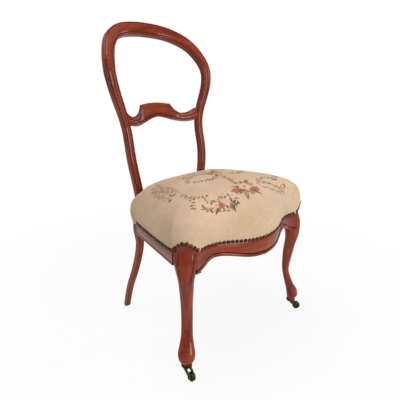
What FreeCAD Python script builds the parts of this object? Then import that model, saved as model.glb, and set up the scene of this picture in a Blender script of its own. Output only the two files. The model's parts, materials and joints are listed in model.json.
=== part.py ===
import FreeCAD, Part
import math
import os

# Balloon back dining chair with a sprung, stuffed-over seat and castors on the front legs.
# Millimetres, +Z up. The chair faces -Y and its right half lies on +X.
# While building, the two front castor pivots stand on the line y = 0, the chair's middle plane is
# x = 0 and the floor lies at floor_height. The finished pieces are then moved together so that the
# origin is on the floor at the middle of the whole chair.

Vec = FreeCAD.Vector
UP = Vec(0, 0, 1)
MIDDLE = Vec(0, 0, 0)
SQRT_HALF = math.sqrt(0.5)

floor_height = 5.0

# Fits and clearances
tenon_clearance = 0.15
dowel_clearance = 0.1
cloth_gap = 0.3
running_clearance = 0.05
castor_side_gap = 0.6

# Back: outline of the front outer edge
back_height = 905.5
loop_half_width = 195.0
loop_widest_height = 757.0
waist_half_width = 153.0
waist_height = 540.0
bow_radius = 285.0
lean_at_waist = 378.0
lean_slope = 0.185
lean_growth = 0.000135
lean_start_height = 500.0
crest_joint_height = 790.0
stile_steps = 32
crest_steps = 9
crest_dowel_radius = 3.5
crest_dowel_length = 36.0

# Back: section of stiles and crest rail
stile_width = 25.0
loop_side_width = 29.3
crest_width = 39.5
stile_depth = 18.5
loop_side_depth = 21.5
crest_depth = 22.0
crest_lean = 0.4
bead_width = 4.6
crest_bead_width = 6.5
crest_outer_bead_width = 2.5
bead_crown = 0.1
quirk_depth = 2.2
ridge_rise = 1.6
back_corner = 3.5

# Rear legs
rear_foot_corner = 172.5
rear_foot_front = 379.5
rear_foot_width = 16.0
rear_foot_depth = 16.5
rail_block_corner = 155.0
rail_block_width = 34.0
rail_block_depth = 24.0
rail_block_front = 311.0

# Mid rail
mid_rail_height = 620.5
mid_rail_front = 397.0
mid_rail_bow = 235.0
mid_rail_lean = 0.32
mid_rail_thickness = 14.0
tablet_rise = 1.8
tablet_half_width = 55.5
tablet_height = 658.5
tablet_crown = 663.5
mid_tenon_length = 12.0
mid_tenon_height = 18.0
mid_tenon_thickness = 7.0

# Front legs, measured along the outward diagonal through the castor pivot
front_leg_half_spread = 227.0
front_leg_bottom = 42.0
knee_half_width = 32.5
knee_out = 10.5
ankle_half_width = 14.8
toe_half_width = 22.5
toe_out = 20.0
knee_arch_height = 377.0
knee_arch_foot = 350.0
leg_post_front = -11.0
leg_post_back = 31.5
leg_post_inner = 196.5
leg_post_outer = 238.5
post_low = 318.0
post_height = 374.0

# Seat rails
rail_thickness = 24.0
rail_top_above_nails = 22.0
front_nail_height = 347.0
front_nail_rise = 5.0
front_rail_drop = 45.0
front_bow = -60.0
side_nail_height = 352.0
side_rail_depth = 35.0
seat_fall = 0.115
side_rail_front_out = 242.0
side_rail_front_y = 31.5
side_rail_rear_out = 158.0
cover_rebate = 3.0
apron_bead_height = 8.0
apron_bead_out = 1.4
rail_tenon_length = 20.0
rail_tenon_thickness = 9.0
rail_tenon_height = 26.0
rear_rail_thickness = 22.0
rear_rail_setback = 1.0
rear_tenon_length = 13.0
block_above_webbing = 5.0
block_below_top = 16.0

# Upholstery
cover_thickness = 1.8
seat_crown = 148.0
seat_bulge = 5.0
seat_centre_y = 140.0
seat_rings = 18
stile_gap = 0.8
spring_rows = (95.0, 160.0, 225.0)
spring_columns = (75.0, 62.0)
twine_level_run = 7.0
twine_beyond_spring = 6.0
web_drop = 2.4
webbing_spacing = 75.0
spring_base_radius = 36.0
spring_waist_radius = 22.0
spring_wire = 3.4
spring_height = 110.0
spring_turns = 5
webbing_width = 50.0
webbing_thickness = 2.0
hessian_thickness = 1.2
twine_diameter = 2.4

# Decorative nails and tacks
nail_head_radius = 5.2
nail_head_height = 3.0
nail_shank_radius = 0.8
nail_shank_length = 11.0
nail_pitch = 11.4
nail_above_edge = 4.6
tack_head_radius = 3.0
tack_head_height = 0.8
tack_shank_radius = 0.9
tack_shank_length = 9.0

# Castors
castor_plate_radius = 14.0
castor_plate_thickness = 3.0
castor_pin_radius = 3.6
castor_pin_depth = 24.0
castor_cap_radius = 9.0
castor_cap_thickness = 5.0
castor_cap_gap = 0.3
castor_rivet_gap = 0.3
castor_rivet_thickness = 1.8
castor_trail = 20.0
wheel_radius = 12.0
wheel_width = 11.0
cheek_thickness = 2.4
axle_radius = 2.4
axle_head_radius = 4.2
axle_head_thickness = 1.4
castor_screw_radius = 1.6
castor_screw_length = 13.0
castor_screw_head_radius = 2.8
castor_screw_head_height = 0.9
right_castor_angle = -38.0
left_castor_angle = -94.0

parts = {}


def between(table, at):
    """Value at a place along a table of (place, value) pairs, straight between its rows."""
    if at <= table[0][0]:
        return table[0][1]
    for (low, value_low), (high, value_high) in zip(table, table[1:]):
        if at <= high:
            return value_low + (value_high - value_low) * (at - low) / (high - low)
    return table[-1][1]


def spline(points):
    curve = Part.BSplineCurve()
    curve.interpolate([Vec(*p) for p in points])
    return curve


def line(a, b):
    return Part.LineSegment(Vec(*a), Vec(*b)).toShape()


def bend(a, middle, b):
    """A gentle curve from a to b that passes through the middle point."""
    start, through, end = Vec(*a), Vec(*middle), Vec(*b)
    curve = Part.BezierCurve()
    curve.setPoles([start, through * 2 - (start + end) * 0.5, end])
    return curve.toShape()


def polygon(points):
    corners = [Vec(*p) for p in points]
    return Part.makePolygon(corners + [corners[0]])


def prism(wire, direction):
    return Part.Face(wire).extrude(Vec(*direction))


def box(x0, x1, y0, y1, z0, z1):
    return Part.makeBox(x1 - x0, y1 - y0, z1 - z0, Vec(x0, y0, z0))


def rod(start, end, radius):
    along = end - start
    return Part.makeCylinder(radius, along.Length, start, along)


def grown(centre, size, extra):
    """A box about a centre, with the same extra on every side."""
    half = [s / 2 + extra for s in size]
    return box(centre[0] - half[0], centre[0] + half[0], centre[1] - half[1], centre[1] + half[1],
               centre[2] - half[2], centre[2] + half[2])


def loft(wires, ruled=False):
    return Part.makeLoft(wires, True, ruled)


def mirrored(shape):
    return shape.mirror(MIDDLE, Vec(1, 0, 0))


def largest(shape):
    return max(shape.Solids, key=lambda solid: solid.Volume)


def keep(name, shape):
    parts[name] = shape


def keep_pair(name, right_shape):
    keep(name + "_right", right_shape)
    keep(name + "_left", mirrored(right_shape))


# Seat planes. The seat falls towards the back, so each plane is given by its height at a depth y.

def nail_plane(y):
    return side_nail_height - seat_fall * (y - side_rail_front_y)


def top_plane(y):
    return nail_plane(y) + rail_top_above_nails


def side_bottom_plane(y):
    return nail_plane(y) - side_rail_depth


def slab(low_plane, high_plane, y0, y1, half_x=320.0, low_drop=0.0, high_rise=0.0):
    """Everything between two seat planes, from y0 to y1."""
    outline = polygon([(-half_x, y0, low_plane(y0) - low_drop), (-half_x, y1, low_plane(y1) - low_drop),
                       (-half_x, y1, high_plane(y1) + high_rise), (-half_x, y0, high_plane(y0) + high_rise)])
    return prism(outline, (2 * half_x, 0, 0))


seat_tilt = math.atan(seat_fall)
SEAT_NORMAL = Vec(0, math.sin(seat_tilt), math.cos(seat_tilt))


# Back: where its front outer edge runs

def lean(height):
    rise = height - lean_start_height
    return lean_at_waist + lean_slope * rise + lean_growth * rise * rise


def bow(x):
    return bow_radius - math.sqrt(bow_radius ** 2 - x * x)


def on_back(x, height):
    return (x, lean(height) - bow(x), height)


shoulder = back_height - loop_widest_height
waist_to_loop = loop_half_width - waist_half_width

rear_leg_edge = [
    (rear_foot_corner + 1.0, rear_foot_front + 3.5, -14.0),
    (rear_foot_corner, rear_foot_front, 0.0),
    (rear_foot_corner - 6.5, rear_foot_front - 22.5, 90.0),
    (rear_foot_corner - 13.5, rear_foot_front - 41.0, 145.0),
    (rear_foot_corner - 20.0, rear_foot_front - 55.0, 200.0),
    (rail_block_corner - 4.0, rail_block_front + 3.0, 250.0),
    (rail_block_corner, rail_block_front, 285.0),
    (rail_block_corner, rail_block_front, 318.0),
    (rail_block_corner - 5.0, rail_block_front + 1.0, 340.0),
    (waist_half_width - 11.0, rail_block_front + 5.0, 372.0),
]
stile_edge = [on_back(x, height) for x, height in (
    (waist_half_width - 12.5, 408.0),
    (waist_half_width - 8.0, 443.0),
    (waist_half_width - 1.8, waist_height - 52.0),
    (waist_half_width, waist_height),
    (waist_half_width + 0.5, waist_height + 52.0),
    (waist_half_width + 0.25 * waist_to_loop, loop_widest_height - 0.81 * shoulder),
    (waist_half_width + 0.66 * waist_to_loop, loop_widest_height - 0.485 * shoulder),
    (loop_half_width - 2.0, loop_widest_height - 0.16 * shoulder),
    (loop_half_width, loop_widest_height),
    (loop_half_width - 3.2, loop_widest_height + 0.19 * shoulder),
    (loop_half_width * 0.915, loop_widest_height + 0.44 * shoulder),
    (loop_half_width * 0.793, loop_widest_height + 0.676 * shoulder),
    (loop_half_width * 0.62, loop_widest_height + 0.84 * shoulder),
    (loop_half_width * 0.413, loop_widest_height + 0.943 * shoulder),
    (loop_half_width * 0.2, loop_widest_height + 0.987 * shoulder),
    (0.0, back_height),
    (-loop_half_width * 0.2, loop_widest_height + 0.987 * shoulder),
)]
back_edge = spline(rear_leg_edge + stile_edge)

section_width = [
    (0.0, rear_foot_width), (145.0, rear_foot_width + 1.5), (250.0, rear_foot_width + 4.5),
    (285.0, rail_block_width), (318.0, rail_block_width), (372.0, stile_width + 1.0),
    (410.0, stile_width), (waist_height + 70.0, stile_width),
    (loop_widest_height - 90.0, stile_width + 2.2), (loop_widest_height, loop_side_width),
    (loop_widest_height + 84.0, loop_side_width + 4.2),
    (back_height - 15.0, crest_width - 2.0), (back_height, crest_width),
]
section_depth = [
    (0.0, rear_foot_depth), (250.0, rear_foot_depth + 1.5), (285.0, rail_block_depth),
    (318.0, rail_block_depth), (372.0, stile_depth + 1.5), (410.0, stile_depth),
    (waist_height + 90.0, stile_depth), (loop_widest_height, loop_side_depth), (back_height, crest_depth),
]
moulding_strength = [(330.0, 0.12), (420.0, 1.0)]
crest_share = [(loop_widest_height, 0.0), (back_height - 20.0, 1.0)]


def parameter_where(reached):
    """The back edge's parameter where a test first holds, going up from the foot."""
    low, high = back_edge.FirstParameter, back_edge.LastParameter
    for _ in range(60):
        middle = (low + high) / 2
        if reached(back_edge.value(middle)):
            high = middle
        else:
            low = middle
    return (low + high) / 2


def parameter_at_height(height):
    return parameter_where(lambda point: point.z >= height or point.x <= 0)


def back_frame(parameter, side):
    """Outer front corner of a back section, with the outward and backward directions."""
    corner = back_edge.value(parameter)
    along = back_edge.tangent(parameter)[0]
    outward = Vec(along.z, 0, -along.x).normalize()
    outward = Vec(outward.x, crest_lean * max(outward.z, 0.0), outward.z)
    outward = (outward - along * outward.dot(along)).normalize()
    backward = along.cross(outward)
    if side < 0:
        corner = Vec(-corner.x, corner.y, corner.z)
        outward = Vec(-outward.x, outward.y, outward.z)
        backward = Vec(-backward.x, backward.y, backward.z)
    return corner, outward, backward


def back_section(parameter, side=1):
    """Wire of a stile or crest section: bead, ridge and bead in front, rounded corners behind."""
    corner, outward, backward = back_frame(parameter, side)
    height = corner.z
    width = between(section_width, height)
    depth = between(section_depth, height)
    strength = between(moulding_strength, height)
    crest = between(crest_share, height)
    inner_bead = bead_width + (crest_bead_width - bead_width) * crest
    outer_bead = bead_width + (crest_outer_bead_width - bead_width) * crest
    quirk = quirk_depth * strength
    outer_quirk = quirk * (1 - 0.6 * crest)
    rise = ridge_rise * strength + bead_crown

    def at(across, deep):
        return tuple(corner - outward * (width - across) + backward * deep)

    ridge_start, ridge_end = inner_bead, width - outer_bead
    side_end = depth - back_corner
    rounding = 0.3 * back_corner
    return Part.Wire([
        bend(at(0, quirk), at(inner_bead / 2, bead_crown), at(ridge_start, quirk)),
        bend(at(ridge_start, quirk), at((ridge_start + ridge_end) / 2, -rise), at(ridge_end, outer_quirk)),
        bend(at(ridge_end, outer_quirk), at(width - outer_bead / 2, bead_crown), at(width, quirk)),
        line(at(width, quirk), at(width, side_end)),
        bend(at(width, side_end), at(width - rounding, depth - rounding), at(width - back_corner, depth)),
        line(at(width - back_corner, depth), at(back_corner, depth)),
        bend(at(back_corner, depth), at(rounding, depth - rounding), at(0, side_end)),
        line(at(0, side_end), at(0, quirk)),
    ])


crest_end_parameter = parameter_where(lambda point: point.x <= 0)
joint_parameter = parameter_at_height(crest_joint_height)
foot_parameter = back_edge.FirstParameter
stile_parameters = [foot_parameter + (joint_parameter - foot_parameter) * step / stile_steps
                    for step in range(stile_steps + 1)]
rear_leg = loft([back_section(p) for p in stile_parameters])
rear_leg = largest(rear_leg.cut(box(0, 400, 200, 600, -60, floor_height)))

crest_half = [joint_parameter + (crest_end_parameter - joint_parameter) * step / crest_steps
              for step in range(crest_steps + 1)]
crest_wires = [back_section(p) for p in crest_half]
crest_wires += [back_section(p, -1) for p in reversed(crest_half[:-1])]
crest_rail = loft(crest_wires)


# Crest dowels: two in each butt joint between a stile and the crest rail

def crest_dowels(radius, extra_length):
    corner, outward, backward = back_frame(joint_parameter, 1)
    along = outward.cross(backward)
    width = between(section_width, corner.z)
    depth = between(section_depth, corner.z)
    rods = []
    for share in (0.3, 0.7):
        centre = corner - outward * width * share + backward * depth * 0.52
        reach = along * (crest_dowel_length / 2 + extra_length)
        rods.append(rod(centre - reach, centre + reach, radius))
    return rods


dowels = crest_dowels(crest_dowel_radius, 0)
dowel_holes = crest_dowels(crest_dowel_radius + dowel_clearance, 1.0)
crest_rail = crest_rail.cut(dowel_holes + [mirrored(hole) for hole in dowel_holes])
rear_leg = rear_leg.cut(dowel_holes)
keep("crest_dowels", Part.makeCompound(dowels + [mirrored(dowel) for dowel in dowels]))
keep("crest_rail", largest(crest_rail))


# Mid rail: a bowed, leaning slab cut to its front outline, with a raised tablet in the middle

def symmetric(half):
    """A whole edge from left to right, from its right half of (x, value) pairs."""
    return [(-x, value) for x, value in reversed(half[1:])] + half


def bowed_slab(front_radius, thickness):
    lean_axis = Vec(0, mid_rail_lean, 1).normalize()
    foot = Vec(0, mid_rail_front - mid_rail_bow, mid_rail_height) - lean_axis * 120
    outer = Part.makeCylinder(front_radius + thickness, 260, foot, lean_axis)
    return outer.cut(Part.makeCylinder(front_radius, 260, foot, lean_axis))


def mid_rail_prism(lower_half, upper_half):
    """Prism of a front outline: a lower edge, two arms' upper edges and an arched top."""
    near, far = 250.0, 260.0

    def at(x, z):
        return (x, near, z)

    lower = symmetric(lower_half)
    x_end, z_low = lower[-1]
    z_high = upper_half[-1][1]
    arm_start, arm_height = upper_half[0]
    corner = at(tablet_half_width, tablet_height)
    far_corner = at(-tablet_half_width, tablet_height)
    edges = [
        spline([at(x, z) for x, z in lower]).toShape(),
        line(at(x_end, z_low), at(x_end, z_high)),
        spline([at(x, z) for x, z in upper_half]).toShape(),
        line(at(arm_start, arm_height), corner),
        bend(corner, at(0, tablet_crown), far_corner),
        line(far_corner, at(-arm_start, arm_height)),
        spline([at(-x, z) for x, z in reversed(upper_half)]).toShape(),
        line(at(-x_end, z_high), at(-x_end, z_low)),
    ]
    return prism(Part.Wire(Part.__sortEdges__(edges)), (0, far, 0))


rail_reach = waist_half_width - 11.0
lower_edge_half = [(x, mid_rail_height + rise) for x, rise in (
    (0.0, 0.0), (20.0, -3.0), (40.0, -8.5), (58.0, -14.0), (74.0, -18.0), (88.0, -20.0), (104.0, -19.5),
    (124.0, -15.5), (rail_reach, -10.0))]
dip = mid_rail_height + 7.8
arm_top = [
    (tablet_half_width, tablet_height - 2.0), (tablet_half_width + 5.5, tablet_height - 10.0),
    (tablet_half_width + 13.0, dip + 10.5), (tablet_half_width + 23.0, dip + 3.5),
    (tablet_half_width + 35.5, dip), (tablet_half_width + 51.0, dip + 1.0),
    (tablet_half_width + 67.0, dip + 7.2), (rail_reach, dip + 21.5),
]
arms = bowed_slab(mid_rail_bow, mid_rail_thickness).common(mid_rail_prism(lower_edge_half, arm_top))
tablet_end = tablet_half_width + 24.0
tablet_low_half = [(x, mid_rail_height + rise) for x, rise in (
    (0.0, 11.0), (20.0, 8.2), (40.0, 2.5), (58.0, -3.5), (70.0, -7.0), (tablet_end, -8.5))]
tablet_side = [(tablet_half_width, tablet_height - 2.0), (tablet_half_width + 8.0, tablet_height - 17.0),
               (tablet_end, mid_rail_height - 7.5)]
tablet_slab = bowed_slab(mid_rail_bow - tablet_rise, mid_rail_thickness + tablet_rise)
tablet = tablet_slab.common(mid_rail_prism(tablet_low_half, tablet_side))
mid_rail = largest(arms).fuse(largest(tablet))
mid_rail = largest(mid_rail.cut([rear_leg, mirrored(rear_leg)]))
stile_inner = waist_half_width - stile_width
mid_tenon_y = lean(mid_rail_height) - bow(waist_half_width) + stile_depth * 0.5
mid_tenon_centre = (stile_inner + mid_tenon_length / 2 - 2.0, mid_tenon_y, mid_rail_height + 3.0)
mid_tenon_size = (mid_tenon_length + 4.0, mid_tenon_thickness, mid_tenon_height)
mid_tenon = grown(mid_tenon_centre, mid_tenon_size, 0)
rear_leg = rear_leg.cut(grown(mid_tenon_centre, mid_tenon_size, tenon_clearance))
mid_rail = mid_rail.fuse([mid_tenon, mirrored(mid_tenon)]).removeSplitter()
keep("mid_rail", largest(mid_rail))


# Front legs: sections across the diagonal that points outwards through the castor pivot

OUTWARD = Vec(SQRT_HALF, -SQRT_HALF, 0)
SIDEWAYS = Vec(SQRT_HALF, SQRT_HALF, 0)
PIVOT = Vec(front_leg_half_spread, 0, 0)


def on_leg(out, side, height):
    return tuple(PIVOT + OUTWARD * out + SIDEWAYS * side + UP * height)


# Each row: height, how far the front reaches out, how far the back reaches in, half width
leg_sections = [
    (front_leg_bottom, 10.5, -11.5, 12.3),
    (48.0, 13.0, -12.0, 13.3),
    (55.0, toe_out - 2.5, -13.5, toe_half_width - 5.0),
    (63.0, toe_out, -15.0, toe_half_width - 1.5),
    (72.0, toe_out - 1.0, -16.5, toe_half_width),
    (80.0, toe_out - 3.5, -18.0, toe_half_width - 0.5),
    (90.0, 10.0, -20.5, 19.8),
    (100.0, 4.0, -23.0, 18.0),
    (114.0, -2.5, -27.0, 15.8),
    (130.0, -8.5, -31.0, ankle_half_width + 0.2),
    (150.0, -14.0, -35.0, ankle_half_width),
    (168.0, -13.5, -36.5, ankle_half_width + 0.2),
    (190.0, -10.0, -37.0, ankle_half_width + 0.5),
    (218.0, -5.0, -36.3, 16.2),
    (253.0, 2.0, -33.0, 18.2),
    (286.0, knee_out - 0.5, -36.0, 21.5),
    (300.0, knee_out, -40.0, 25.0),
    (314.0, knee_out - 0.5, -40.0, 28.0),
    (327.0, knee_out - 2.5, -40.0, knee_half_width - 2.0),
    (345.0, 2.0, -40.0, knee_half_width - 0.5),
    (360.0, -3.0, -40.0, knee_half_width),
    (knee_arch_height + 3.0, -6.5, -40.0, knee_half_width - 1.5),
]
corner_fullness = 0.73


def leg_wire(height, out, inn, half_width):
    middle, reach = (out + inn) / 2, (out - inn) / 2
    compass = [(1, 0), (0, 1), (-1, 0), (0, -1)]
    edges = []
    for (a, b), (c, d) in zip(compass, compass[1:] + compass[:1]):
        between_them = ((a + c) * corner_fullness, (b + d) * corner_fullness)
        ends = [(a, b), between_them, (c, d)]
        edges.append(bend(*[on_leg(middle + reach * e, half_width * w, height) for e, w in ends]))
    return Part.Wire(edges)


def arch_edges(out, shift=0.0):
    """Two curves over the knee, foot to crown to foot, at one distance out from the pivot."""
    half = knee_half_width + 1.0
    foot_left = on_leg(out, -half, knee_arch_foot + shift)
    foot_right = on_leg(out, half, knee_arch_foot + shift)
    crown = on_leg(out, 0, knee_arch_height + shift)
    rise = knee_arch_height - knee_arch_foot
    left = bend(foot_left, on_leg(out, -half * 0.56, knee_arch_foot + shift + rise * 0.63), crown)
    right = bend(crown, on_leg(out, half * 0.56, knee_arch_foot + shift + rise * 0.63), foot_right)
    return left, right, foot_left, foot_right


def below_arch(start, end, shift=0.0, bottom=20.0):
    """Everything under the knee arch between two distances out from the pivot."""
    left, right, foot_left, foot_right = arch_edges(start, shift)
    low_left, low_right = (foot_left[0], foot_left[1], bottom), (foot_right[0], foot_right[1], bottom)
    outline = Part.Wire([left, right, line(foot_right, low_right), line(low_right, low_left),
                         line(low_left, foot_left)])
    return prism(outline, OUTWARD * (end - start))


front_leg = loft([leg_wire(*row) for row in leg_sections]).common(below_arch(-60.0, 40.0))
leg_post = box(leg_post_inner, leg_post_outer, leg_post_front, leg_post_back, post_low, post_height)
leg_post = leg_post.cut(prism(polygon([on_leg(-7.0, -60, 250), on_leg(-7.0, 60, 250), on_leg(60.0, 60, 250),
                                       on_leg(60.0, -60, 250)]), (0, 0, 200)))
front_leg = largest(front_leg.fuse(leg_post))


# Seat rails

def side_outer(y, inset=0.0):
    """Where the outer face of the right side rail is at a depth y."""
    share = (y - side_rail_front_y) / (rail_block_front - side_rail_front_y)
    return side_rail_front_out + (side_rail_rear_out - side_rail_front_out) * share - inset


def side_strip(y0, y1, outer_inset, inner_inset, z0, z1):
    corners = [(side_outer(y0, outer_inset), y0, z0), (side_outer(y1, outer_inset), y1, z0),
               (side_outer(y1, inner_inset), y1, z0), (side_outer(y0, inner_inset), y0, z0)]
    return prism(polygon(corners), (0, 0, z1 - z0))


rail_end = leg_post_inner + 8.0
front_face_half = [(0.0, front_bow), (37.0, front_bow + 5.0), (63.0, front_bow + 13.0),
                   (92.0, front_bow + 26.0), (124.0, front_bow + 41.0), (150.0, front_bow + 48.0),
                   (175.0, front_bow + 49.5), (leg_post_inner, front_bow + 46.5),
                   (rail_end, front_bow + 44.5)]
front_face = symmetric(front_face_half)


def front_strip(near, far, z0=240.0, z1=400.0):
    """Band that follows the front rail's face, from one depth behind it to another."""
    near_edge = spline([(x, y + near, z0) for x, y in front_face]).toShape()
    far_edge = spline([(x, y + far, z0) for x, y in front_face]).toShape()
    x_end, y_end = front_face[-1]
    outline = Part.Wire([near_edge, line((x_end, y_end + near, z0), (x_end, y_end + far, z0)), far_edge,
                         line((-x_end, y_end + far, z0), (-x_end, y_end + near, z0))])
    return prism(outline, (0, 0, z1 - z0))


def front_view_prism(half_points, other_z, y0=-90.0, y1=60.0):
    """Everything between a mirrored edge in front view and a level height."""
    points = [(x, y0, z) for x, z in symmetric(half_points)]
    edge = spline(points).toShape()
    left, right = points[0], points[-1]
    outline = Part.Wire([edge, line(right, (right[0], y0, other_z)), line((right[0], y0, other_z),
                         (left[0], y0, other_z)), line((left[0], y0, other_z), left)])
    return prism(outline, (0, y1 - y0, 0))


rail_low = front_nail_height - front_rail_drop
apron_edge = [(0.0, rail_low), (52.0, rail_low + 4.0), (76.0, rail_low + 9.0), (102.0, rail_low + 15.0),
              (129.0, rail_low + 19.0), (148.0, rail_low + 18.5), (162.0, rail_low + 12.5),
              (174.0, rail_low + 4.0), (187.0, rail_low - 2.0), (rail_end, rail_low - 5.0)]
nail_edge = [(0.0, front_nail_height), (37.0, front_nail_height + 0.3), (63.0, front_nail_height + 2.0),
             (92.0, front_nail_height + 4.0), (124.0, front_nail_height + front_nail_rise),
             (150.0, front_nail_height + front_nail_rise),
             (175.0, front_nail_height + front_nail_rise - 0.5),
             (rail_end, front_nail_height + front_nail_rise - 1.0)]
bead_edge = [(x, z + apron_bead_height) for x, z in apron_edge]

front_rail = front_strip(0, rail_thickness, 240.0, top_plane(-20.0))
front_rail = front_rail.common(front_view_prism(apron_edge, 420.0))
front_bead = front_strip(-apron_bead_out, rail_thickness / 2).common(front_view_prism(apron_edge, 420.0))
front_bead = front_bead.cut(front_view_prism(bead_edge, 420.0))
front_rail = front_rail.fuse(front_bead)
front_rebate = front_strip(-8.0, cover_rebate).common(front_view_prism(nail_edge, 420.0))
front_rail = front_rail.cut(front_rebate)
web_ledge = front_strip(rail_thickness - 10.0, rail_thickness + 20.0)
web_ledge = web_ledge.common(slab(side_bottom_plane, side_bottom_plane, -100.0, 60.0, low_drop=80.0,
                                  high_rise=-web_drop))
front_rail = front_rail.cut([web_ledge, slab(top_plane, top_plane, -100.0, 60.0, high_rise=60.0)])

leg_hole_size = (rail_tenon_length, rail_tenon_thickness, rail_tenon_height)
front_tenon_centre = (leg_post_inner + rail_tenon_length / 2, front_bow + 59.0, front_nail_height - 9.0)
front_tenon = grown(front_tenon_centre, leg_hole_size, 0)
front_leg = front_leg.cut(grown(front_tenon_centre, leg_hole_size, tenon_clearance))
post_reach = box(leg_post_inner, leg_post_outer, leg_post_front, leg_post_back, 240.0, 420.0)
front_rail = largest(front_rail.cut([front_leg, mirrored(front_leg), post_reach, mirrored(post_reach)]))
front_rail = front_rail.fuse([front_tenon, mirrored(front_tenon)])

side_rail = side_strip(side_rail_front_y, rail_block_front, 0, rail_thickness, 240.0, 420.0)
side_rail = side_rail.common(slab(side_bottom_plane, top_plane, 0, 340))
side_rebate = side_strip(side_rail_front_y - 1, rail_block_front + 1, -9.0, cover_rebate, 240.0, 420.0)
side_rail = side_rail.cut(side_rebate.common(slab(nail_plane, nail_plane, 0, 340, high_rise=90)))
side_rail = side_rail.cut(front_leg)
side_middle = rail_thickness / 2 + 0.5
fore_tenon_centre = (side_outer(side_rail_front_y, side_middle),
                     side_rail_front_y - rail_tenon_length / 2 + 2.0, side_nail_height - 12.0)
side_tenon_size = (rail_tenon_thickness, rail_tenon_length + 4.0, rail_tenon_height)
fore_tenon = grown(fore_tenon_centre, side_tenon_size, 0)
front_leg = front_leg.cut(grown(fore_tenon_centre, side_tenon_size, tenon_clearance))
aft_tenon_centre = (side_outer(rail_block_front, side_middle),
                    rail_block_front + rail_tenon_length / 2 - 3.0, nail_plane(rail_block_front) - 6.0)
aft_tenon_size = (rail_tenon_thickness, rail_tenon_length + 2.0, rail_tenon_height)
aft_tenon = grown(aft_tenon_centre, aft_tenon_size, 0)

rear_rail_front = rail_block_front + rear_rail_setback
rear_rail_reach = rail_block_corner - rail_block_width + 1.0
rear_rail_back = rear_rail_front + rear_rail_thickness
rear_rail = box(-rear_rail_reach, rear_rail_reach, rear_rail_front, rear_rail_back, 240, 420)
rear_rail = rear_rail.common(slab(side_bottom_plane, top_plane, 200, 400, low_drop=web_drop))
rear_tenon_size = (rear_tenon_length * 2, rail_tenon_thickness, rail_tenon_height)
rear_tenon_centre = (rear_rail_reach, rear_rail_front + rear_rail_thickness / 2,
                     nail_plane(rail_block_front) - 4.0)
rear_tenon = grown(rear_tenon_centre, rear_tenon_size, 0)

side_end = side_strip(rail_block_front - 12.0, rail_block_front, -6.0, rail_thickness + 6.0, 240.0, 420.0)
side_end = side_end.common(slab(side_bottom_plane, top_plane, 0, 340))
rear_leg = rear_leg.cut([side_end, rear_rail, grown(aft_tenon_centre, aft_tenon_size, tenon_clearance),
                         grown(rear_tenon_centre, rear_tenon_size, tenon_clearance)])
side_rail = largest(side_rail.fuse([fore_tenon, aft_tenon]))
rear_rail = rear_rail.fuse([rear_tenon, mirrored(rear_tenon)])

pin_room = Part.makeCylinder(castor_pin_radius + running_clearance, castor_pin_depth + 1.0,
                             PIVOT + UP * front_leg_bottom, UP)
front_leg = front_leg.cut(pin_room)
keep("front_seat_rail", largest(front_rail))
keep_pair("side_seat_rail", side_rail)
keep("rear_seat_rail", largest(rear_rail))
keep_pair("front_leg", largest(front_leg))
keep_pair("rear_leg_stile", largest(rear_leg))


# Corner blocks glued and screwed into the seat's corners

def block_prism(corners):
    shape = prism(polygon([(x, y, 240.0) for x, y in corners]), (0, 0, 200))
    return shape.common(slab(side_bottom_plane, top_plane, 0, 340, low_drop=-block_above_webbing,
                             high_rise=-block_below_top))


inner_front = front_bow + 58.0 + rail_thickness - 10.0
block_front_corners = [(leg_post_inner - 40.0, inner_front), (leg_post_inner, inner_front),
                       (leg_post_inner, leg_post_back),
                       (side_outer(leg_post_back, rail_thickness), leg_post_back),
                       (side_outer(80.0, rail_thickness), 80.0),
                       (side_outer(80.0, rail_thickness + 8.0), 80.0)]
block_rear_corners = [(side_outer(rail_block_front - 50.0, rail_thickness), rail_block_front - 50.0),
                      (side_outer(rail_block_front, rail_thickness), rail_block_front),
                      (rear_rail_reach - 1.0, rail_block_front), (rear_rail_reach - 1.0, rear_rail_front),
                      (rear_rail_reach - 42.0, rear_rail_front),
                      (side_outer(rail_block_front - 50.0, rail_thickness + 8.0), rail_block_front - 50.0)]
wood_around = [parts["front_seat_rail"], parts["side_seat_rail_right"], parts["rear_seat_rail"],
               parts["front_leg_right"], parts["rear_leg_stile_right"]]
keep_pair("front_corner_block", largest(block_prism(block_front_corners).cut(wood_around)))
keep_pair("rear_corner_block", largest(block_prism(block_rear_corners).cut(wood_around)))


# Fasteners: each is one turned solid, standing with its head's underside at the origin

def fastener(head_radius, head_height, shank_radius, shank_length, domed):
    point = (0, 0, -shank_length)
    shoulder_in = (shank_radius, 0, -shank_length + 1.5)
    outline = [line(point, shoulder_in), line(shoulder_in, (shank_radius, 0, 0)),
               line((shank_radius, 0, 0), (head_radius, 0, 0))]
    if domed:
        half_way = (head_radius * 0.76, 0, head_height * 0.76)
        outline.append(bend((head_radius, 0, 0), half_way, (0, 0, head_height)))
    else:
        outline.append(line((head_radius, 0, 0), (head_radius, 0, head_height)))
        outline.append(line((head_radius, 0, head_height), (0, 0, head_height)))
    outline.append(line((0, 0, head_height), point))
    return Part.Face(Part.Wire(outline)).revolve(MIDDLE, UP, 360)


def driven(shape, place, outward):
    """A copy of a fastener with its head at a place, facing outward."""
    copy = shape.copy()
    copy.Placement = FreeCAD.Placement(Vec(*place), FreeCAD.Rotation(UP, Vec(*outward)))
    return copy


def both_sides(shapes):
    return Part.makeCompound(shapes + [mirrored(shape) for shape in shapes])


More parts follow.
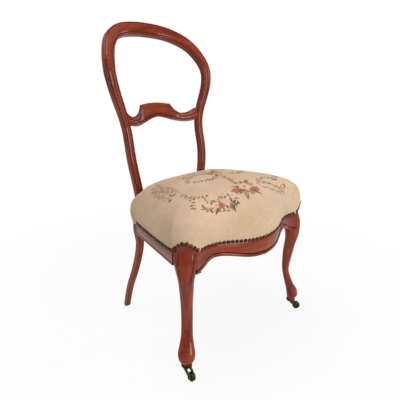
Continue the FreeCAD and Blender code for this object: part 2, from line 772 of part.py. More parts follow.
block_screw = fastener(3.4, 1.6, 1.7, 30.0, False)
block_middle = side_bottom_plane(40.0) + block_above_webbing + 15.0
screws = []
for x, y, outward, drop in (
        (174.0, 30.0, (-0.35, 0.94, 0), 0.0), (197.0, 57.0, (-0.94, 0.35, 0), 0.0),
        (131.0, 280.0, (-0.94, -0.35, 0), 28.0), (104.0, 294.0, (-0.25, -0.97, 0), 28.0)):
    screws.append(driven(block_screw, (x, y, block_middle - drop), outward))
keep("corner_block_screws", both_sides(screws))


# Webbing under the rails, with its tacks

tack = fastener(tack_head_radius, tack_head_height, tack_shank_radius, tack_shank_length, False)
tacks = []


def add_tacks(x0, y0, x1, y1, plane_drop):
    """Three tacks along a line under the seat, driven upwards through the webbing."""
    for share in (0.15, 0.5, 0.85):
        x, y = x0 + (x1 - x0) * share, y0 + (y1 - y0) * share
        tacks.append(driven(tack, (x, y, side_bottom_plane(y) - plane_drop), -SEAT_NORMAL))


cross_strips = []
for y in spring_rows:
    half = webbing_width / 2
    outline = polygon([(side_outer(y - half, 7), y - half, 200), (side_outer(y + half, 7), y + half, 200),
                       (-side_outer(y + half, 7), y + half, 200), (-side_outer(y - half, 7), y - half, 200)])
    strip = prism(outline, (0, 0, 200)).common(slab(side_bottom_plane, side_bottom_plane, -100, 400,
                                                    low_drop=webbing_thickness))
    cross_strips.append(strip)
    for sign in (1, -1):
        add_tacks(sign * side_outer(y - half, 13), y - half, sign * side_outer(y + half, 13), y + half,
                  webbing_thickness)
keep("webbing_crosswise", Part.makeCompound(cross_strips))

long_strips = []
for x, y_front in ((-webbing_spacing, -13.0), (0.0, -43.0), (webbing_spacing, -13.0)):
    half = webbing_width / 2
    y_back = rear_rail_back - 4.0
    strip = box(x - half, x + half, y_front, y_back, 200, 400)
    strip = strip.common(slab(side_bottom_plane, side_bottom_plane, -100, 400,
                              low_drop=web_drop + webbing_thickness, high_rise=-web_drop))
    long_strips.append(strip)
    add_tacks(x - half, y_front + 4.0, x + half, y_front + 4.0, web_drop + webbing_thickness)
    add_tacks(x - half, y_back - 6.0, x + half, y_back - 6.0, web_drop + webbing_thickness)
keep("webbing_lengthwise", Part.makeCompound(long_strips))
keep("webbing_tacks", Part.makeCompound(tacks))


# Seat springs: one unbroken hourglass coil each

def spring_path(turns, height, end_radius, waist_radius):
    """Smooth rising coil whose radius narrows to the waist at half height."""
    steps = turns * 12
    points = []
    for step in range(steps + 1):
        share = step / steps
        radius = waist_radius + (end_radius - waist_radius) * (2 * share - 1) ** 2
        angle = 2 * math.pi * turns * share
        points.append((radius * math.cos(angle), radius * math.sin(angle), height * share))
    return spline(points).toShape()


coil = spring_path(spring_turns, spring_height - spring_wire, spring_base_radius, spring_waist_radius)
start_tangent = coil.Curve.tangent(coil.FirstParameter)[0]
wire_circle = Part.Wire(Part.makeCircle(spring_wire / 2, Vec(spring_base_radius, 0, 0), start_tangent))
spring = Part.Wire(coil).makePipeShell([wire_circle], True, False)
coil_rise = (spring_height - spring_wire) / spring_turns
print("least gap between spring coils", round(coil_rise - spring_wire, 2), "mm")
spring_places = [(spring_columns[0], spring_rows[0]), (-spring_columns[0], spring_rows[0]),
                 (0.0, spring_rows[1]), (spring_columns[1], spring_rows[2]),
                 (-spring_columns[1], spring_rows[2])]
for number, (x, y) in enumerate(spring_places, 1):
    foot = Vec(x, y, side_bottom_plane(y)) + SEAT_NORMAL * (spring_wire / 2 + 0.25)
    keep("seat_spring_%d" % number, driven(spring, foot, SEAT_NORMAL))


def above_springs(y, extra=0.0):
    """Height of the spring tops at a depth y."""
    return side_bottom_plane(y) + (spring_height + 0.6) / math.cos(seat_tilt) + extra


# Twine that ties the springs, laced to the rails on both sides
def twine_line(points):
    radius = twine_diameter / 2
    shapes = [rod(Vec(*a), Vec(*b), radius) for a, b in zip(points, points[1:])]
    shapes += [Part.makeSphere(radius, Vec(*p)) for p in points[1:-1]]
    cord = shapes[0].fuse(shapes[1:])
    return largest(cord)


twines = []
for y, column in zip(spring_rows, (spring_columns[0], spring_columns[1], spring_columns[1])):
    knot_x = side_outer(y, rail_thickness / 2)
    climb_x = side_outer(y, rail_thickness + twine_level_run)
    turn_x = column + spring_base_radius + twine_beyond_spring
    top = above_springs(y, twine_diameter / 2 + 0.2)
    knot = top_plane(y) + twine_diameter / 2 + 0.1
    twines.append(twine_line([(-knot_x, y, knot), (-climb_x, y, knot), (-turn_x, y, top),
                              (turn_x, y, top), (climb_x, y, knot), (knot_x, y, knot)]))
keep("spring_twine", Part.makeCompound(twines))


# Hessian over the springs, stitched down on the rails

def plane_polygon(corners, plane, extra):
    return polygon([(x, y, plane(y) + extra) for x, y in corners])


def ring_of(inset, grow=0.0):
    front, back = spring_rows[0] - 80.0 + inset - grow, spring_rows[2] + 84.0 - inset + grow
    half_front = side_outer(front, rail_thickness + inset + 3.0 - grow)
    half_back = side_outer(back, rail_thickness + inset + 3.0 - grow)
    return [(-half_front, front), (half_front, front), (half_back, back), (-half_back, back)]


def hessian_tent(extra, grow):
    foot = plane_polygon(ring_of(0.0, grow), top_plane, extra)
    head = plane_polygon(ring_of(34.0, grow), above_springs, twine_diameter + 1.0 + extra)
    return loft([foot, head], True)


hessian_outer = hessian_tent(hessian_thickness + 0.2, hessian_thickness)
hessian_inner = hessian_tent(0.2, 0.0)
flange_rim = ring_of(-16.0)
flange_rise = twine_diameter + 0.4
flange = loft([plane_polygon(flange_rim, top_plane, flange_rise),
               plane_polygon(flange_rim, top_plane, flange_rise + hessian_thickness)], True)
under_flange = slab(top_plane, top_plane, -120, 420, low_drop=6.0, high_rise=flange_rise)
hessian = flange.fuse(hessian_outer).cut([hessian_inner, under_flange, post_reach, mirrored(post_reach)])


# Seat cover and stuffing: one rounded outline carried up through rising levels

def seat_base(y):
    return side_nail_height - 0.0955 * (y - front_bow)


outline_inset = cover_rebate - cloth_gap - cover_thickness
rear_line = rear_rail_back + cloth_gap + cover_thickness
corner_front = (leg_post_inner - 0.5, front_bow + 46.0)
corner_knee = (front_leg_half_spread - 1.5, 1.5)
corner_side = (side_rail_front_out - outline_inset, side_rail_front_y + 1.0)
corner_rear = (side_outer(rail_block_front - 6.0, outline_inset), rail_block_front - 6.0)
corner_back = (rail_block_corner - 3.0, rear_line)
side_swell = (side_outer(170.0, outline_inset) + 4.0, 170.0)


def seat_wire(level, scale, inset, crown):
    """Seat outline at a level above the base, scaled and inset; the crown fills out its hollows."""
    edges = []

    def at(point):
        x, y = point
        reach = math.hypot(x, y - seat_centre_y)
        factor = scale - inset / reach
        new_x, new_y = x * factor, seat_centre_y + (y - seat_centre_y) * factor
        return new_x, new_y, seat_base(new_y) + level

    def curve(a, middle, b):
        edges.append(bend(at(a), at(middle), at(b)))

    def flipped(point):
        return -point[0], point[1]

    front_y = front_bow + outline_inset
    mid_front = (100.0, front_y + 30.0 - 6.0 * crown)
    hollow = (150.0, front_y + 48.0 - 12.0 * crown)
    back_round = (rail_block_corner + 6.5, rail_block_front + 12.0)
    right = [((0.0, front_y), (52.0, front_y + 9.0), mid_front), (mid_front, hollow, corner_front),
             (corner_front, corner_knee, corner_side), (corner_side, side_swell, corner_rear),
             (corner_rear, back_round, corner_back)]
    for a, middle, b in right:
        curve(a, middle, b)
    edges.append(line(at(corner_back), at(flipped(corner_back))))
    for a, middle, b in reversed(right):
        curve(flipped(b), flipped(middle), flipped(a))
    return Part.Wire(edges)


# Side view of the seat: how far a point half a seat's depth out lies, at rising levels
seat_reach = 200.0
seat_profile = spline([
    (seat_reach, 0, -16.0), (seat_reach, 0, 8.0), (seat_reach + seat_bulge * 0.75, 0, 28.0),
    (seat_reach + seat_bulge * 0.85, 0, 50.0), (seat_reach + 0.5, 0, 71.0), (seat_reach * 0.965, 0, 88.0),
    (seat_reach * 0.885, 0, seat_crown - 45.0), (seat_reach * 0.74, 0, seat_crown - 30.0),
    (seat_reach * 0.53, 0, seat_crown - 16.5), (seat_reach * 0.3, 0, seat_crown - 6.5),
    (seat_reach * 0.12, 0, seat_crown - 1.5)])
seat_stations = [(point.z, point.x / seat_reach) for point in seat_profile.discretize(seat_rings)]


def seat_body(inset):
    wires = []
    for level, scale in seat_stations:
        crown = max(0.0, level - 60.0) / (seat_crown - 60.0)
        wires.append(seat_wire(level - inset * crown, scale, inset, crown))
    return loft(wires)


stile_room_wires = []
for step in range(19):
    height = 285.0 + 12.0 * step
    corner, outward, backward = back_frame(parameter_at_height(height), 1)
    out, inn = stile_gap, -between(section_width, height) - stile_gap
    front = -ridge_rise - stile_gap
    back = between(section_depth, height) + stile_gap
    corners = [(out, front), (inn, front), (inn, back), (out, back)]
    stile_room_wires.append(polygon([tuple(corner + outward * a + backward * b) for a, b in corners]))
stile_room = loft(stile_room_wires, True)
stile_rooms = [stile_room, mirrored(stile_room)]

knee_trim = below_arch(-30.0, 40.0, 0.0, 200.0)
side_trim = slab(nail_plane, nail_plane, side_rail_front_y, 420, low_drop=120)
front_trim = front_view_prism(nail_edge, 200.0, -120.0, 30.0)
trims = [knee_trim, mirrored(knee_trim), side_trim, front_trim]
cover = seat_body(0.0).cut(seat_body(cover_thickness))
rail_room = front_strip(cover_rebate - cloth_gap, rail_thickness, 240.0, top_plane(front_bow))
cover = largest(cover.cut(trims + stile_rooms + [rail_room]))
keep("seat_cover", cover)

stuffing = seat_body(cover_thickness + cloth_gap).common(
    slab(top_plane, top_plane, -120, 420, low_drop=-0.4, high_rise=220))
stuffing_cuts = [hessian_tent(hessian_thickness + 0.6, hessian_thickness + 0.6)] + stile_rooms
stuffing_low = flange_rise + hessian_thickness + 0.4
stuffing_cuts.append(slab(top_plane, top_plane, -120, 420, high_rise=stuffing_low))
stuffing = largest(stuffing.cut(stuffing_cuts))
keep("seat_stuffing", stuffing)
keep("spring_hessian", largest(hessian.cut(stile_rooms).common(seat_body(cover_thickness + cloth_gap))))


# Decorative nails along the front, over the knees and along the sides

nail = fastener(nail_head_radius, nail_head_height, nail_shank_radius, nail_shank_length, True)


def spread(points, pitch):
    """Evenly spaced places along a run of points, with the run's direction at each."""
    total = sum((b - a).Length for a, b in zip(points, points[1:]))
    count = max(1, round(total / pitch))
    places, travelled, target = [], 0.0, total / count / 2
    for a, b in zip(points, points[1:]):
        length = (b - a).Length
        while target <= travelled + length and len(places) < count:
            places.append((a + (b - a) * ((target - travelled) / length), (b - a).normalize()))
            target += total / count
        travelled += length
    return places


def on_cover(x, y, height):
    """A place on the cover's outside, at a height, above a point of its base outline."""
    factor = between(seat_stations, height - seat_base(y))
    return Vec(x * factor, seat_centre_y + (y - seat_centre_y) * factor, height)


def nail_row(points):
    row = []
    for place, along in spread(points, nail_pitch):
        outward = Vec(along.y, -along.x, 0).normalize()
        row.append(driven(nail, place, outward))
    return row


front_curve = spline([(x, y + outline_inset, 0.0) for x, y in front_face])
nail_height_curve = spline([(x, 0.0, z) for x, z in symmetric(nail_edge)])


def nail_height_at(x):
    low_end, high_end = nail_height_curve.FirstParameter, nail_height_curve.LastParameter
    for _ in range(40):
        middle = (low_end + high_end) / 2
        if nail_height_curve.value(middle).x < x:
            low_end = middle
        else:
            high_end = middle
    return nail_height_curve.value(low_end).z


front_run = []
for step in range(121):
    span = front_curve.LastParameter - front_curve.FirstParameter
    point = front_curve.value(front_curve.FirstParameter + span * step / 120)
    if abs(point.x) < leg_post_inner - 3.0:
        front_run.append(on_cover(point.x, point.y, nail_height_at(point.x) + nail_above_edge))
keep("nails_front", Part.makeCompound(nail_row(front_run)))

knee_run = []
knee_corner_curve = bend((*corner_front, 0.0), (*corner_knee, 0.0), (*corner_side, 0.0)).Curve
for step in range(31):
    point = knee_corner_curve.value(step / 30)
    side = (point - PIVOT).dot(SIDEWAYS) / (knee_half_width + 1.0)
    arch = knee_arch_foot + (knee_arch_height - knee_arch_foot) * (1 - abs(side) ** 1.5)
    knee_run.append(on_cover(point.x, point.y, max(arch, knee_arch_foot) + nail_above_edge))
keep_pair("nails_knee", Part.makeCompound(nail_row(knee_run)))

side_curve = bend((*corner_side, 0.0), (*side_swell, 0.0), (*corner_rear, 0.0)).Curve
side_run = []
for step in range(61):
    point = side_curve.value(step / 60)
    side_run.append(on_cover(point.x, point.y, nail_plane(point.y) + nail_above_edge))
keep_pair("nails_side", Part.makeCompound(nail_row(side_run)))

rear_tacks = []
for step in range(9):
    x = -100.0 + 25.0 * step
    rear_tacks.append(driven(tack, (x, rear_line, nail_plane(rear_line) + 6.0), (0, 1, 0)))
keep("rear_cover_tacks", Part.makeCompound(rear_tacks))


# Castors: a fixed plate and pin, and below them a fork that swivels and carries the wheel

def castor(side, angle):
    sign = 1 if side == "right" else -1
    top = Vec(sign * front_leg_half_spread, 0, front_leg_bottom)
    plate_low = top - UP * castor_plate_thickness
    trail = Vec(math.cos(math.radians(angle)), math.sin(math.radians(angle)), 0)
    across = UP.cross(trail)
    plate = Part.makeCylinder(castor_plate_radius, castor_plate_thickness, plate_low, UP)
    screw_centres = []
    for third in range(3):
        turn = math.radians(angle + 60 + 120 * third)
        reach = Vec(math.cos(turn), math.sin(turn), 0) * (castor_plate_radius - 3.4)
        screw_centres.append(plate_low + reach + UP * castor_screw_head_height)
    holes = [Part.makeCylinder(castor_pin_radius + running_clearance, castor_plate_thickness, plate_low, UP)]
    for centre in screw_centres:
        holes.append(Part.makeCylinder(castor_screw_radius + 0.1, castor_plate_thickness, centre, UP))
        holes.append(Part.makeCylinder(castor_screw_head_radius + 0.1, castor_screw_head_height + 0.1,
                                       centre + UP * 0.05, -UP))
    keep("castor_plate_" + side, plate.cut(holes))
    screw = fastener(castor_screw_head_radius, castor_screw_head_height, castor_screw_radius,
                     castor_screw_length, False)
    keep("castor_screws_" + side, Part.makeCompound([driven(screw, c, -UP) for c in screw_centres]))

    cap_top = plate_low - UP * castor_cap_gap
    cap_low = cap_top - UP * castor_cap_thickness
    pin_end = cap_low - UP * (castor_rivet_gap + castor_rivet_thickness)
    pin = Part.makeCylinder(castor_pin_radius, top.z + castor_pin_depth - pin_end.z, pin_end, UP)
    rivet = Part.makeCylinder(castor_pin_radius + 1.6, castor_rivet_thickness, pin_end, UP)
    keep("castor_pin_" + side, pin.fuse(rivet).removeSplitter())

    axle_centre = Vec(top.x, top.y, floor_height + wheel_radius) + trail * castor_trail
    cheek_centre = wheel_width / 2 + castor_side_gap + cheek_thickness / 2
    fork = Part.makeCylinder(castor_cap_radius, castor_cap_thickness, cap_low, UP)
    pieces = []
    for direction in (1, -1):
        outer_face = across * direction * (cheek_centre + cheek_thickness / 2)
        foot, hip = axle_centre + outer_face, Vec(top.x, top.y, 0) + outer_face
        corners = [hip + trail * -4.0 + UP * cap_top.z, hip + trail * 8.0 + UP * cap_top.z,
                   foot + trail * 5.2 + UP * 1.0, foot + UP * -5.2 + trail * 2.0,
                   foot + UP * -5.2 - trail * 2.0, foot - trail * 5.6 + UP * 1.5,
                   hip - trail * 2.0 + UP * (cap_low.z - 4.0)]
        pieces.append(prism(polygon([tuple(c) for c in corners]), across * -direction * cheek_thickness))
    bridge = [Vec(top.x, top.y, cap_low.z) + trail * a + across * b for a, b in (
        (-4.0, -cheek_centre), (8.0, -cheek_centre), (8.0, cheek_centre), (-4.0, cheek_centre))]
    pieces.append(prism(polygon([tuple(c) for c in bridge]), UP * castor_cap_thickness))
    swivel_hole = Part.makeCylinder(castor_pin_radius + running_clearance, 60, cap_low - UP, UP)
    axle_line = across * (cheek_centre + cheek_thickness)
    axle_hole = rod(axle_centre - axle_line, axle_centre + axle_line, axle_radius + running_clearance)
    keep("castor_fork_" + side, largest(fork.fuse(pieces).cut([swivel_hole, axle_hole]).removeSplitter()))

    half_axle = across * (cheek_centre + cheek_thickness / 2 + 0.05)
    axle = rod(axle_centre - half_axle, axle_centre + half_axle, axle_radius)
    heads = []
    for direction in (1, -1):
        axle_end = axle_centre + half_axle * direction
        heads.append(rod(axle_end, axle_end + across * direction * axle_head_thickness, axle_head_radius))
    keep("castor_axle_" + side, axle.fuse(heads).removeSplitter())

    half_wheel = across * wheel_width / 2
    wheel = rod(axle_centre - half_wheel, axle_centre + half_wheel, wheel_radius)
    rims = [edge for edge in wheel.Edges if edge.Curve.TypeId == "Part::GeomCircle"]
    wheel = wheel.makeFillet(2.0, rims)
    bore = rod(axle_centre - half_wheel, axle_centre + half_wheel, axle_radius + running_clearance)
    keep("castor_wheel_" + side, wheel.cut(bore))


castor("right", right_castor_angle)
castor("left", left_castor_angle)

# The finished chair is moved so that its origin is on the floor at the middle of its outline
whole = Part.makeCompound(list(parts.values()))
bounds = whole.optimalBoundingBox(False)
shift = Vec(-(bounds.XMin + bounds.XMax) / 2, -(bounds.YMin + bounds.YMax) / 2, -floor_height)
print("moved by", round(shift.x, 3), round(shift.y, 3), "lowest point", round(bounds.ZMin, 4))
for shape in parts.values():
    shape.translate(shift)

os.makedirs("parts", exist_ok=True)
for name, shape in parts.items():
    shape.exportStep("parts/" + name + ".step")
    print(name, len(shape.Solids), round(shape.Volume / 1000, 1), "cm3", shape.isValid())
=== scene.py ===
# %% [markdown]
# # A balloon back chair
# The chair is polished mahogany with a sprung, stuffed seat under a needlepoint cover, brass nails
# and two castors. The frame that this script loads holds every solid piece at its exact place, so
# each mesh made here only has to look finer than the solid that it stands for. Lengths in this
# script are millimetres as on a workshop drawing, and one helper turns them into Blender's metres.

import json
import math

import bmesh
import bpy
import numpy as np
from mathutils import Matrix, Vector


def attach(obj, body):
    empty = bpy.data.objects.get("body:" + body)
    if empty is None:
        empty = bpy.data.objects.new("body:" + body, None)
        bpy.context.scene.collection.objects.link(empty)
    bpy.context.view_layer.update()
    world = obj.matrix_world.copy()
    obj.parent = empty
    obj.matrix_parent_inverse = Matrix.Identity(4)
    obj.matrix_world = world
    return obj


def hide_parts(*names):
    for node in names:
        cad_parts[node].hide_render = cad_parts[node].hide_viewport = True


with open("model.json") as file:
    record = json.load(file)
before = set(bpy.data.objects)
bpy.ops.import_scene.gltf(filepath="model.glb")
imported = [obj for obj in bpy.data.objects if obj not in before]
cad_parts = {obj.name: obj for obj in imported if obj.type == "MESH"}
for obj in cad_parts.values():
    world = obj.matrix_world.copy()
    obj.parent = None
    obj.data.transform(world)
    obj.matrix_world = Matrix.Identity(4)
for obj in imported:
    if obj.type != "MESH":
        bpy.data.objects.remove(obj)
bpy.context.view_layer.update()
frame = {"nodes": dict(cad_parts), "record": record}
print("nodes in the frame:", len(frame["nodes"]))

# %% [markdown]
# The drawing puts the two front castor pivots on the line y = 0 and the chair's middle plane on
# x = 0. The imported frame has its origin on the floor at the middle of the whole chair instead. The
# swivel joint of the right castor is known in both, so the step between them comes from it.

# %% From the drawing to the frame
PIVOT_SPREAD = 227.0
SWIVEL_HEIGHT = 37.0
FLOOR = 5.0

joints = {joint["name"]: joint for joint in frame["record"]["behaviour"]["joints"]}
swivel = np.array(joints["castor_swivel_right"]["pos_m"])
DRAWING_ORIGIN = swivel - np.array([PIVOT_SPREAD, 0.0, SWIVEL_HEIGHT]) / 1000
print("drawing origin in metres:", DRAWING_ORIGIN.round(5))


def metres(points):
    """Drawing millimetres to metres in the frame."""
    return np.asarray(points, float) / 1000 + DRAWING_ORIGIN


# %% [markdown]
# The photograph was taken from the front left, a little above the seat. The camera's place, turn
# and lens were fitted to the chair's own outlines, with the lens given for a square picture.

# %% Camera
CAMERA_PLACE = (-753.1, -625.2, 751.3)
CAMERA_TURN = 42.47
CAMERA_PITCH = 18.04
LENS = 34.87

camera = bpy.data.objects.new("camera", bpy.data.cameras.new("camera"))
camera.data.sensor_width = 36.0
camera.data.lens = LENS
camera.location = metres(CAMERA_PLACE)
camera.rotation_euler = (math.radians(90 - CAMERA_PITCH), 0, math.radians(-CAMERA_TURN))
bpy.context.scene.collection.objects.link(camera)
bpy.context.scene.camera = camera
bpy.context.scene.view_settings.view_transform = "Standard"
print("camera at", camera.location.to_tuple(3))

# %% [markdown]
# ## Shader sums
# A material is a sum of patterns. Writing it as node after node hides that, so one small class
# wraps a socket and lets Python's own signs add the Math nodes. Colours go through Mix nodes and
# positions through Vector Math, because a Math node would turn them into a single number.

# %% Sockets that can be added and multiplied
class Finish:
    """A material whose nodes are made one at a time."""

    def __init__(self, name):
        self.material = bpy.data.materials.new(name)
        self.material.use_nodes = True
        self.tree = self.material.node_tree
        self.tree.nodes.clear()

    def node(self, kind, inputs=None, output=0, **settings):
        node = self.tree.nodes.new("ShaderNode" + kind)
        stops = settings.pop("stops", None)
        for name, value in settings.items():
            setattr(node, name, value)
        if stops:
            ramp = node.color_ramp.elements
            while len(ramp) < len(stops):
                ramp.new(0.5)
            for element, (place, colour) in zip(ramp, stops):
                element.position = place
                element.color = (*colour, 1)
        for key, value in (inputs or {}).items():
            if isinstance(value, Socket):
                self.tree.links.new(value.socket, node.inputs[key])
            else:
                node.inputs[key].default_value = value
        return Socket(self, node.outputs[output])

    def surface(self, **values):
        """The finished surface: a Principled shader with the given sockets, set or linked."""
        names = {"color": "Base Color", "roughness": "Roughness", "metallic": "Metallic",
                 "coat": "Coat Weight", "coat_roughness": "Coat Roughness", "sheen": "Sheen Weight",
                 "sheen_roughness": "Sheen Roughness", "normal": "Normal", "specular": "Specular IOR Level"}
        self.output(self.node("BsdfPrincipled", {names[key]: value for key, value in values.items()}))
        return self.material

    def output(self, shader):
        end = self.tree.nodes.new("ShaderNodeOutputMaterial")
        self.tree.links.new(shader.socket, end.inputs["Surface"])


class Socket:
    """One output of a node, ready for sums."""

    def __init__(self, finish, socket):
        self.finish, self.socket = finish, socket

    def is_vector(self, other=None):
        kinds = [self.socket.type] + ([other.socket.type] if isinstance(other, Socket) else [])
        return "VECTOR" in kinds or isinstance(other, tuple)

    def sum(self, operation, first, second):
        if self.is_vector(second if first is self else first):
            return self.finish.node("VectorMath", {0: first, 1: second}, operation=operation)
        return self.finish.node("Math", {0: first, 1: second}, operation=operation)

    def __add__(self, other):
        return self.sum("ADD", self, other)

    def __radd__(self, other):
        return self.sum("ADD", other, self)

    def __sub__(self, other):
        return self.sum("SUBTRACT", self, other)

    def __rsub__(self, other):
        return self.sum("SUBTRACT", other, self)

    def __mul__(self, other):
        return self.sum("MULTIPLY", self, other)

    def __rmul__(self, other):
        return self.sum("MULTIPLY", other, self)

    def wave(self):
        return self.finish.node("Math", {0: self}, operation="SINE")

    def size(self):
        return self.finish.node("Math", {0: self}, operation="ABSOLUTE")

    def step(self, low, high):
        """0 below low, 1 above high, and a smooth rise between them."""
        return self.finish.node("MapRange", {"Value": self, "From Min": low, "From Max": high},
                                interpolation_type="SMOOTHSTEP")

    def blend(self, first, second):
        """The first colour where this is 0, the second where it is 1."""
        return self.finish.node("Mix", {0: self, 6: first, 7: second}, output=2, data_type="RGBA")

    def ramp(self, *stops):
        return self.finish.node("ValToRGB", {0: self}, stops=stops)

    def bump(self, strength, distance, onto=None):
        inputs = {"Height": self, "Strength": strength, "Distance": distance}
        if onto:
            inputs["Normal"] = onto
        return self.finish.node("Bump", inputs)

    def part(self, index):
        return self.finish.node("SeparateXYZ", {0: self}, output=index)


def linear(red, green, blue):
    """A colour given on a 0 to 255 scale, as Blender's linear values."""
    return tuple(((c / 255 + 0.055) / 1.055) ** 2.4 if c > 10 else c / 3294.6 for c in (red, green, blue))


def rgba(colour):
    return (*colour, 1.0)


# %% [markdown]
# ## Mahogany
# Old mahogany is a red-brown wood with fine dark pores drawn out along the grain, slow light and
# dark bands, and a glossy French polish. The grain has to run along each curved member, so every
# mesh here carries its own lengthwise coordinate, and the pattern reads that instead of the position
# in space. A second number on each point says how deep in a groove it lies, and the finish paints
# the grooves of a moulding darker there as painted shade.

# %% The polished wood
def wood_finish(name, dark, middle, light, grain, gloss, coat):
    finish = Finish(name)
    if grain == "member":
        along = finish.node("Attribute", output=1, attribute_name="grain")
        groove = finish.node("Attribute", output=2, attribute_name="groove")
    else:
        place = finish.node("TexCoord", output=3)
        along = finish.node("Mapping", {0: place, "Rotation": grain})
        groove = None
    bands = finish.node("TexNoise", {"Vector": along * (7.0, 60.0, 60.0), "Scale": 1.0, "Detail": 4.0,
                                     "Roughness": 0.55, "Distortion": 0.6})
    streaks = finish.node("TexNoise", {"Vector": along * (26.0, 520.0, 520.0), "Scale": 1.0, "Detail": 3.0})
    pores = finish.node("TexNoise", {"Vector": along * (90.0, 2400.0, 2400.0), "Scale": 1.0, "Detail": 1.0})
    clouds = finish.node("TexNoise", {"Vector": along * (9.0, 22.0, 22.0), "Scale": 1.0, "Detail": 2.0})
    tone = bands * 0.55 + streaks * 0.3 + clouds * 0.25
    colour = tone.ramp((0.36, dark), (0.53, middle), (0.70, light))
    pore_mask = pores.step(0.58, 0.70) * 0.4
    colour = pore_mask.blend(colour, rgba(tuple(c * 0.35 for c in dark)))
    # Painted shade: the deeper a point lies in a groove, the darker its colour.
    if groove:
        colour = (groove * 0.85).blend(colour, rgba(tuple(c * 0.3 for c in dark)))
    roughness = gloss + streaks * 0.1 + pore_mask * 0.15
    relief = (streaks * 0.3 - pore_mask).bump(0.12, 0.0004)
    return finish.surface(color=colour, roughness=roughness, normal=relief, coat=coat, coat_roughness=0.07,
                          specular=0.09)


MAHOGANY_DARK = linear(82, 22, 10)
MAHOGANY_MIDDLE = linear(122, 39, 14)
MAHOGANY_LIGHT = linear(156, 67, 26)
BEECH_DARK = linear(120, 84, 56)
BEECH_MIDDLE = linear(158, 118, 82)
BEECH_LIGHT = linear(186, 148, 108)
POLISH_GLOSS, POLISH_COAT = 0.3, 0.55
BARE_GLOSS, NO_COAT = 0.6, 0.0
mahogany = wood_finish("polished mahogany", MAHOGANY_DARK, MAHOGANY_MIDDLE, MAHOGANY_LIGHT, "member",
                       POLISH_GLOSS, POLISH_COAT)
beech = wood_finish("bare beech", BEECH_DARK, BEECH_MIDDLE, BEECH_LIGHT, (0, 0, 0), BARE_GLOSS, NO_COAT)
print("woods:", mahogany.name, "and", beech.name)

# %% [markdown]
# ## Metal, cord and webbing
# The nail heads are brass gone dark, with brighter clean patches among the dirt. The castors are
# the same brass with more dirt. Steel springs, jute webbing, twine and hessian only show from below,
# but each still has its own colour and texture there.

# %% Metals
def metal_finish(name, clean, dirty, roughness, scale):
    finish = Finish(name)
    place = finish.node("TexCoord", output=3)
    spots = finish.node("TexNoise", {"Vector": place, "Scale": scale, "Detail": 5.0, "Roughness": 0.6})
    fine = finish.node("TexNoise", {"Vector": place, "Scale": scale * 6, "Detail": 2.0})
    dirt = spots.step(0.42, 0.62)
    colour = dirt.blend(rgba(clean), rgba(dirty))
    return finish.surface(color=colour, metallic=1.0 - dirt * 0.35, roughness=roughness + dirt * 0.25,
                          normal=(fine * 0.5 + spots * 0.5).bump(0.25, 0.0003))


nail_brass = metal_finish("antique nail brass", linear(98, 66, 42), linear(44, 24, 16), 0.36, 160.0)
castor_brass = metal_finish("castor brass", linear(86, 72, 54), linear(34, 28, 23), 0.46, 90.0)
dark_steel = metal_finish("dark steel", linear(110, 105, 100), linear(52, 44, 38), 0.42, 120.0)
spring_steel = metal_finish("coppered spring steel", linear(150, 110, 84), linear(84, 60, 46), 0.4, 80.0)
print("metals:", len((nail_brass, castor_brass, dark_steel, spring_steel)))


# %% [markdown]
# Plain weave is two sets of threads that go over and under each other. A picture of it could be
# laid on, but two sine waves across each other give the same rows of ridges at any size.

# %% Plain woven cloth
def woven_finish(name, thread, gap, pitch, depth):
    """Plain weave: two sets of threads, each a row of rounded ridges, over and under in turn, with painted
    shade in the hollows between them.
    """
    finish = Finish(name)
    place = finish.node("Attribute", output=1, attribute_name="grain") * (1 / pitch, 1 / pitch, 1 / pitch)
    wobble = finish.node("TexNoise", {"Vector": place, "Scale": 0.4, "Detail": 2.0}, output=1)
    place = place + wobble * (0.35, 0.35, 0.35)
    lengthwise = (place.part(0) * math.pi).wave().size()
    crosswise = (place.part(1) * math.pi).wave().size()
    weave = lengthwise * crosswise
    tint = finish.node("TexNoise", {"Vector": place, "Scale": 0.15, "Detail": 3.0})
    # Painted shade: where the threads dip, the colour goes to the darker gap colour; the noise tint varies
    # it at random.
    colour = (weave * 0.8 + tint * 0.5).step(0.15, 0.85).blend(rgba(gap), rgba(thread))
    return finish.surface(color=colour, roughness=0.9, normal=weave.bump(0.6, depth), sheen=0.15)


jute = woven_finish("jute webbing", linear(176, 142, 98), linear(104, 78, 50), 0.0022, 0.0006)
hessian_cloth = woven_finish("hessian", linear(168, 138, 98), linear(96, 72, 46), 0.0014, 0.0004)


def cord_finish(name, colour):
    finish = Finish(name)
    place = finish.node("TexCoord", output=3)
    twist = ((place.part(0) + place.part(1) + place.part(2)) * 1500.0).wave()
    shade = rgba(tuple(c * 0.6 for c in colour))
    return finish.surface(color=(twist * 0.5 + 0.5).blend(shade, rgba(colour)), roughness=0.85,
                          normal=twist.bump(0.5, 0.0003))


twine_cord = cord_finish("flax twine", linear(196, 170, 128))
print("cloth and cord:", jute.name, hessian_cloth.name, twine_cord.name)

# %% [markdown]
# ## Curves
# The back of the chair follows one smooth line from foot to crest. A natural cubic spline through a
# few chosen points, spaced by the lengths between them, gives the same line as the solid pieces.

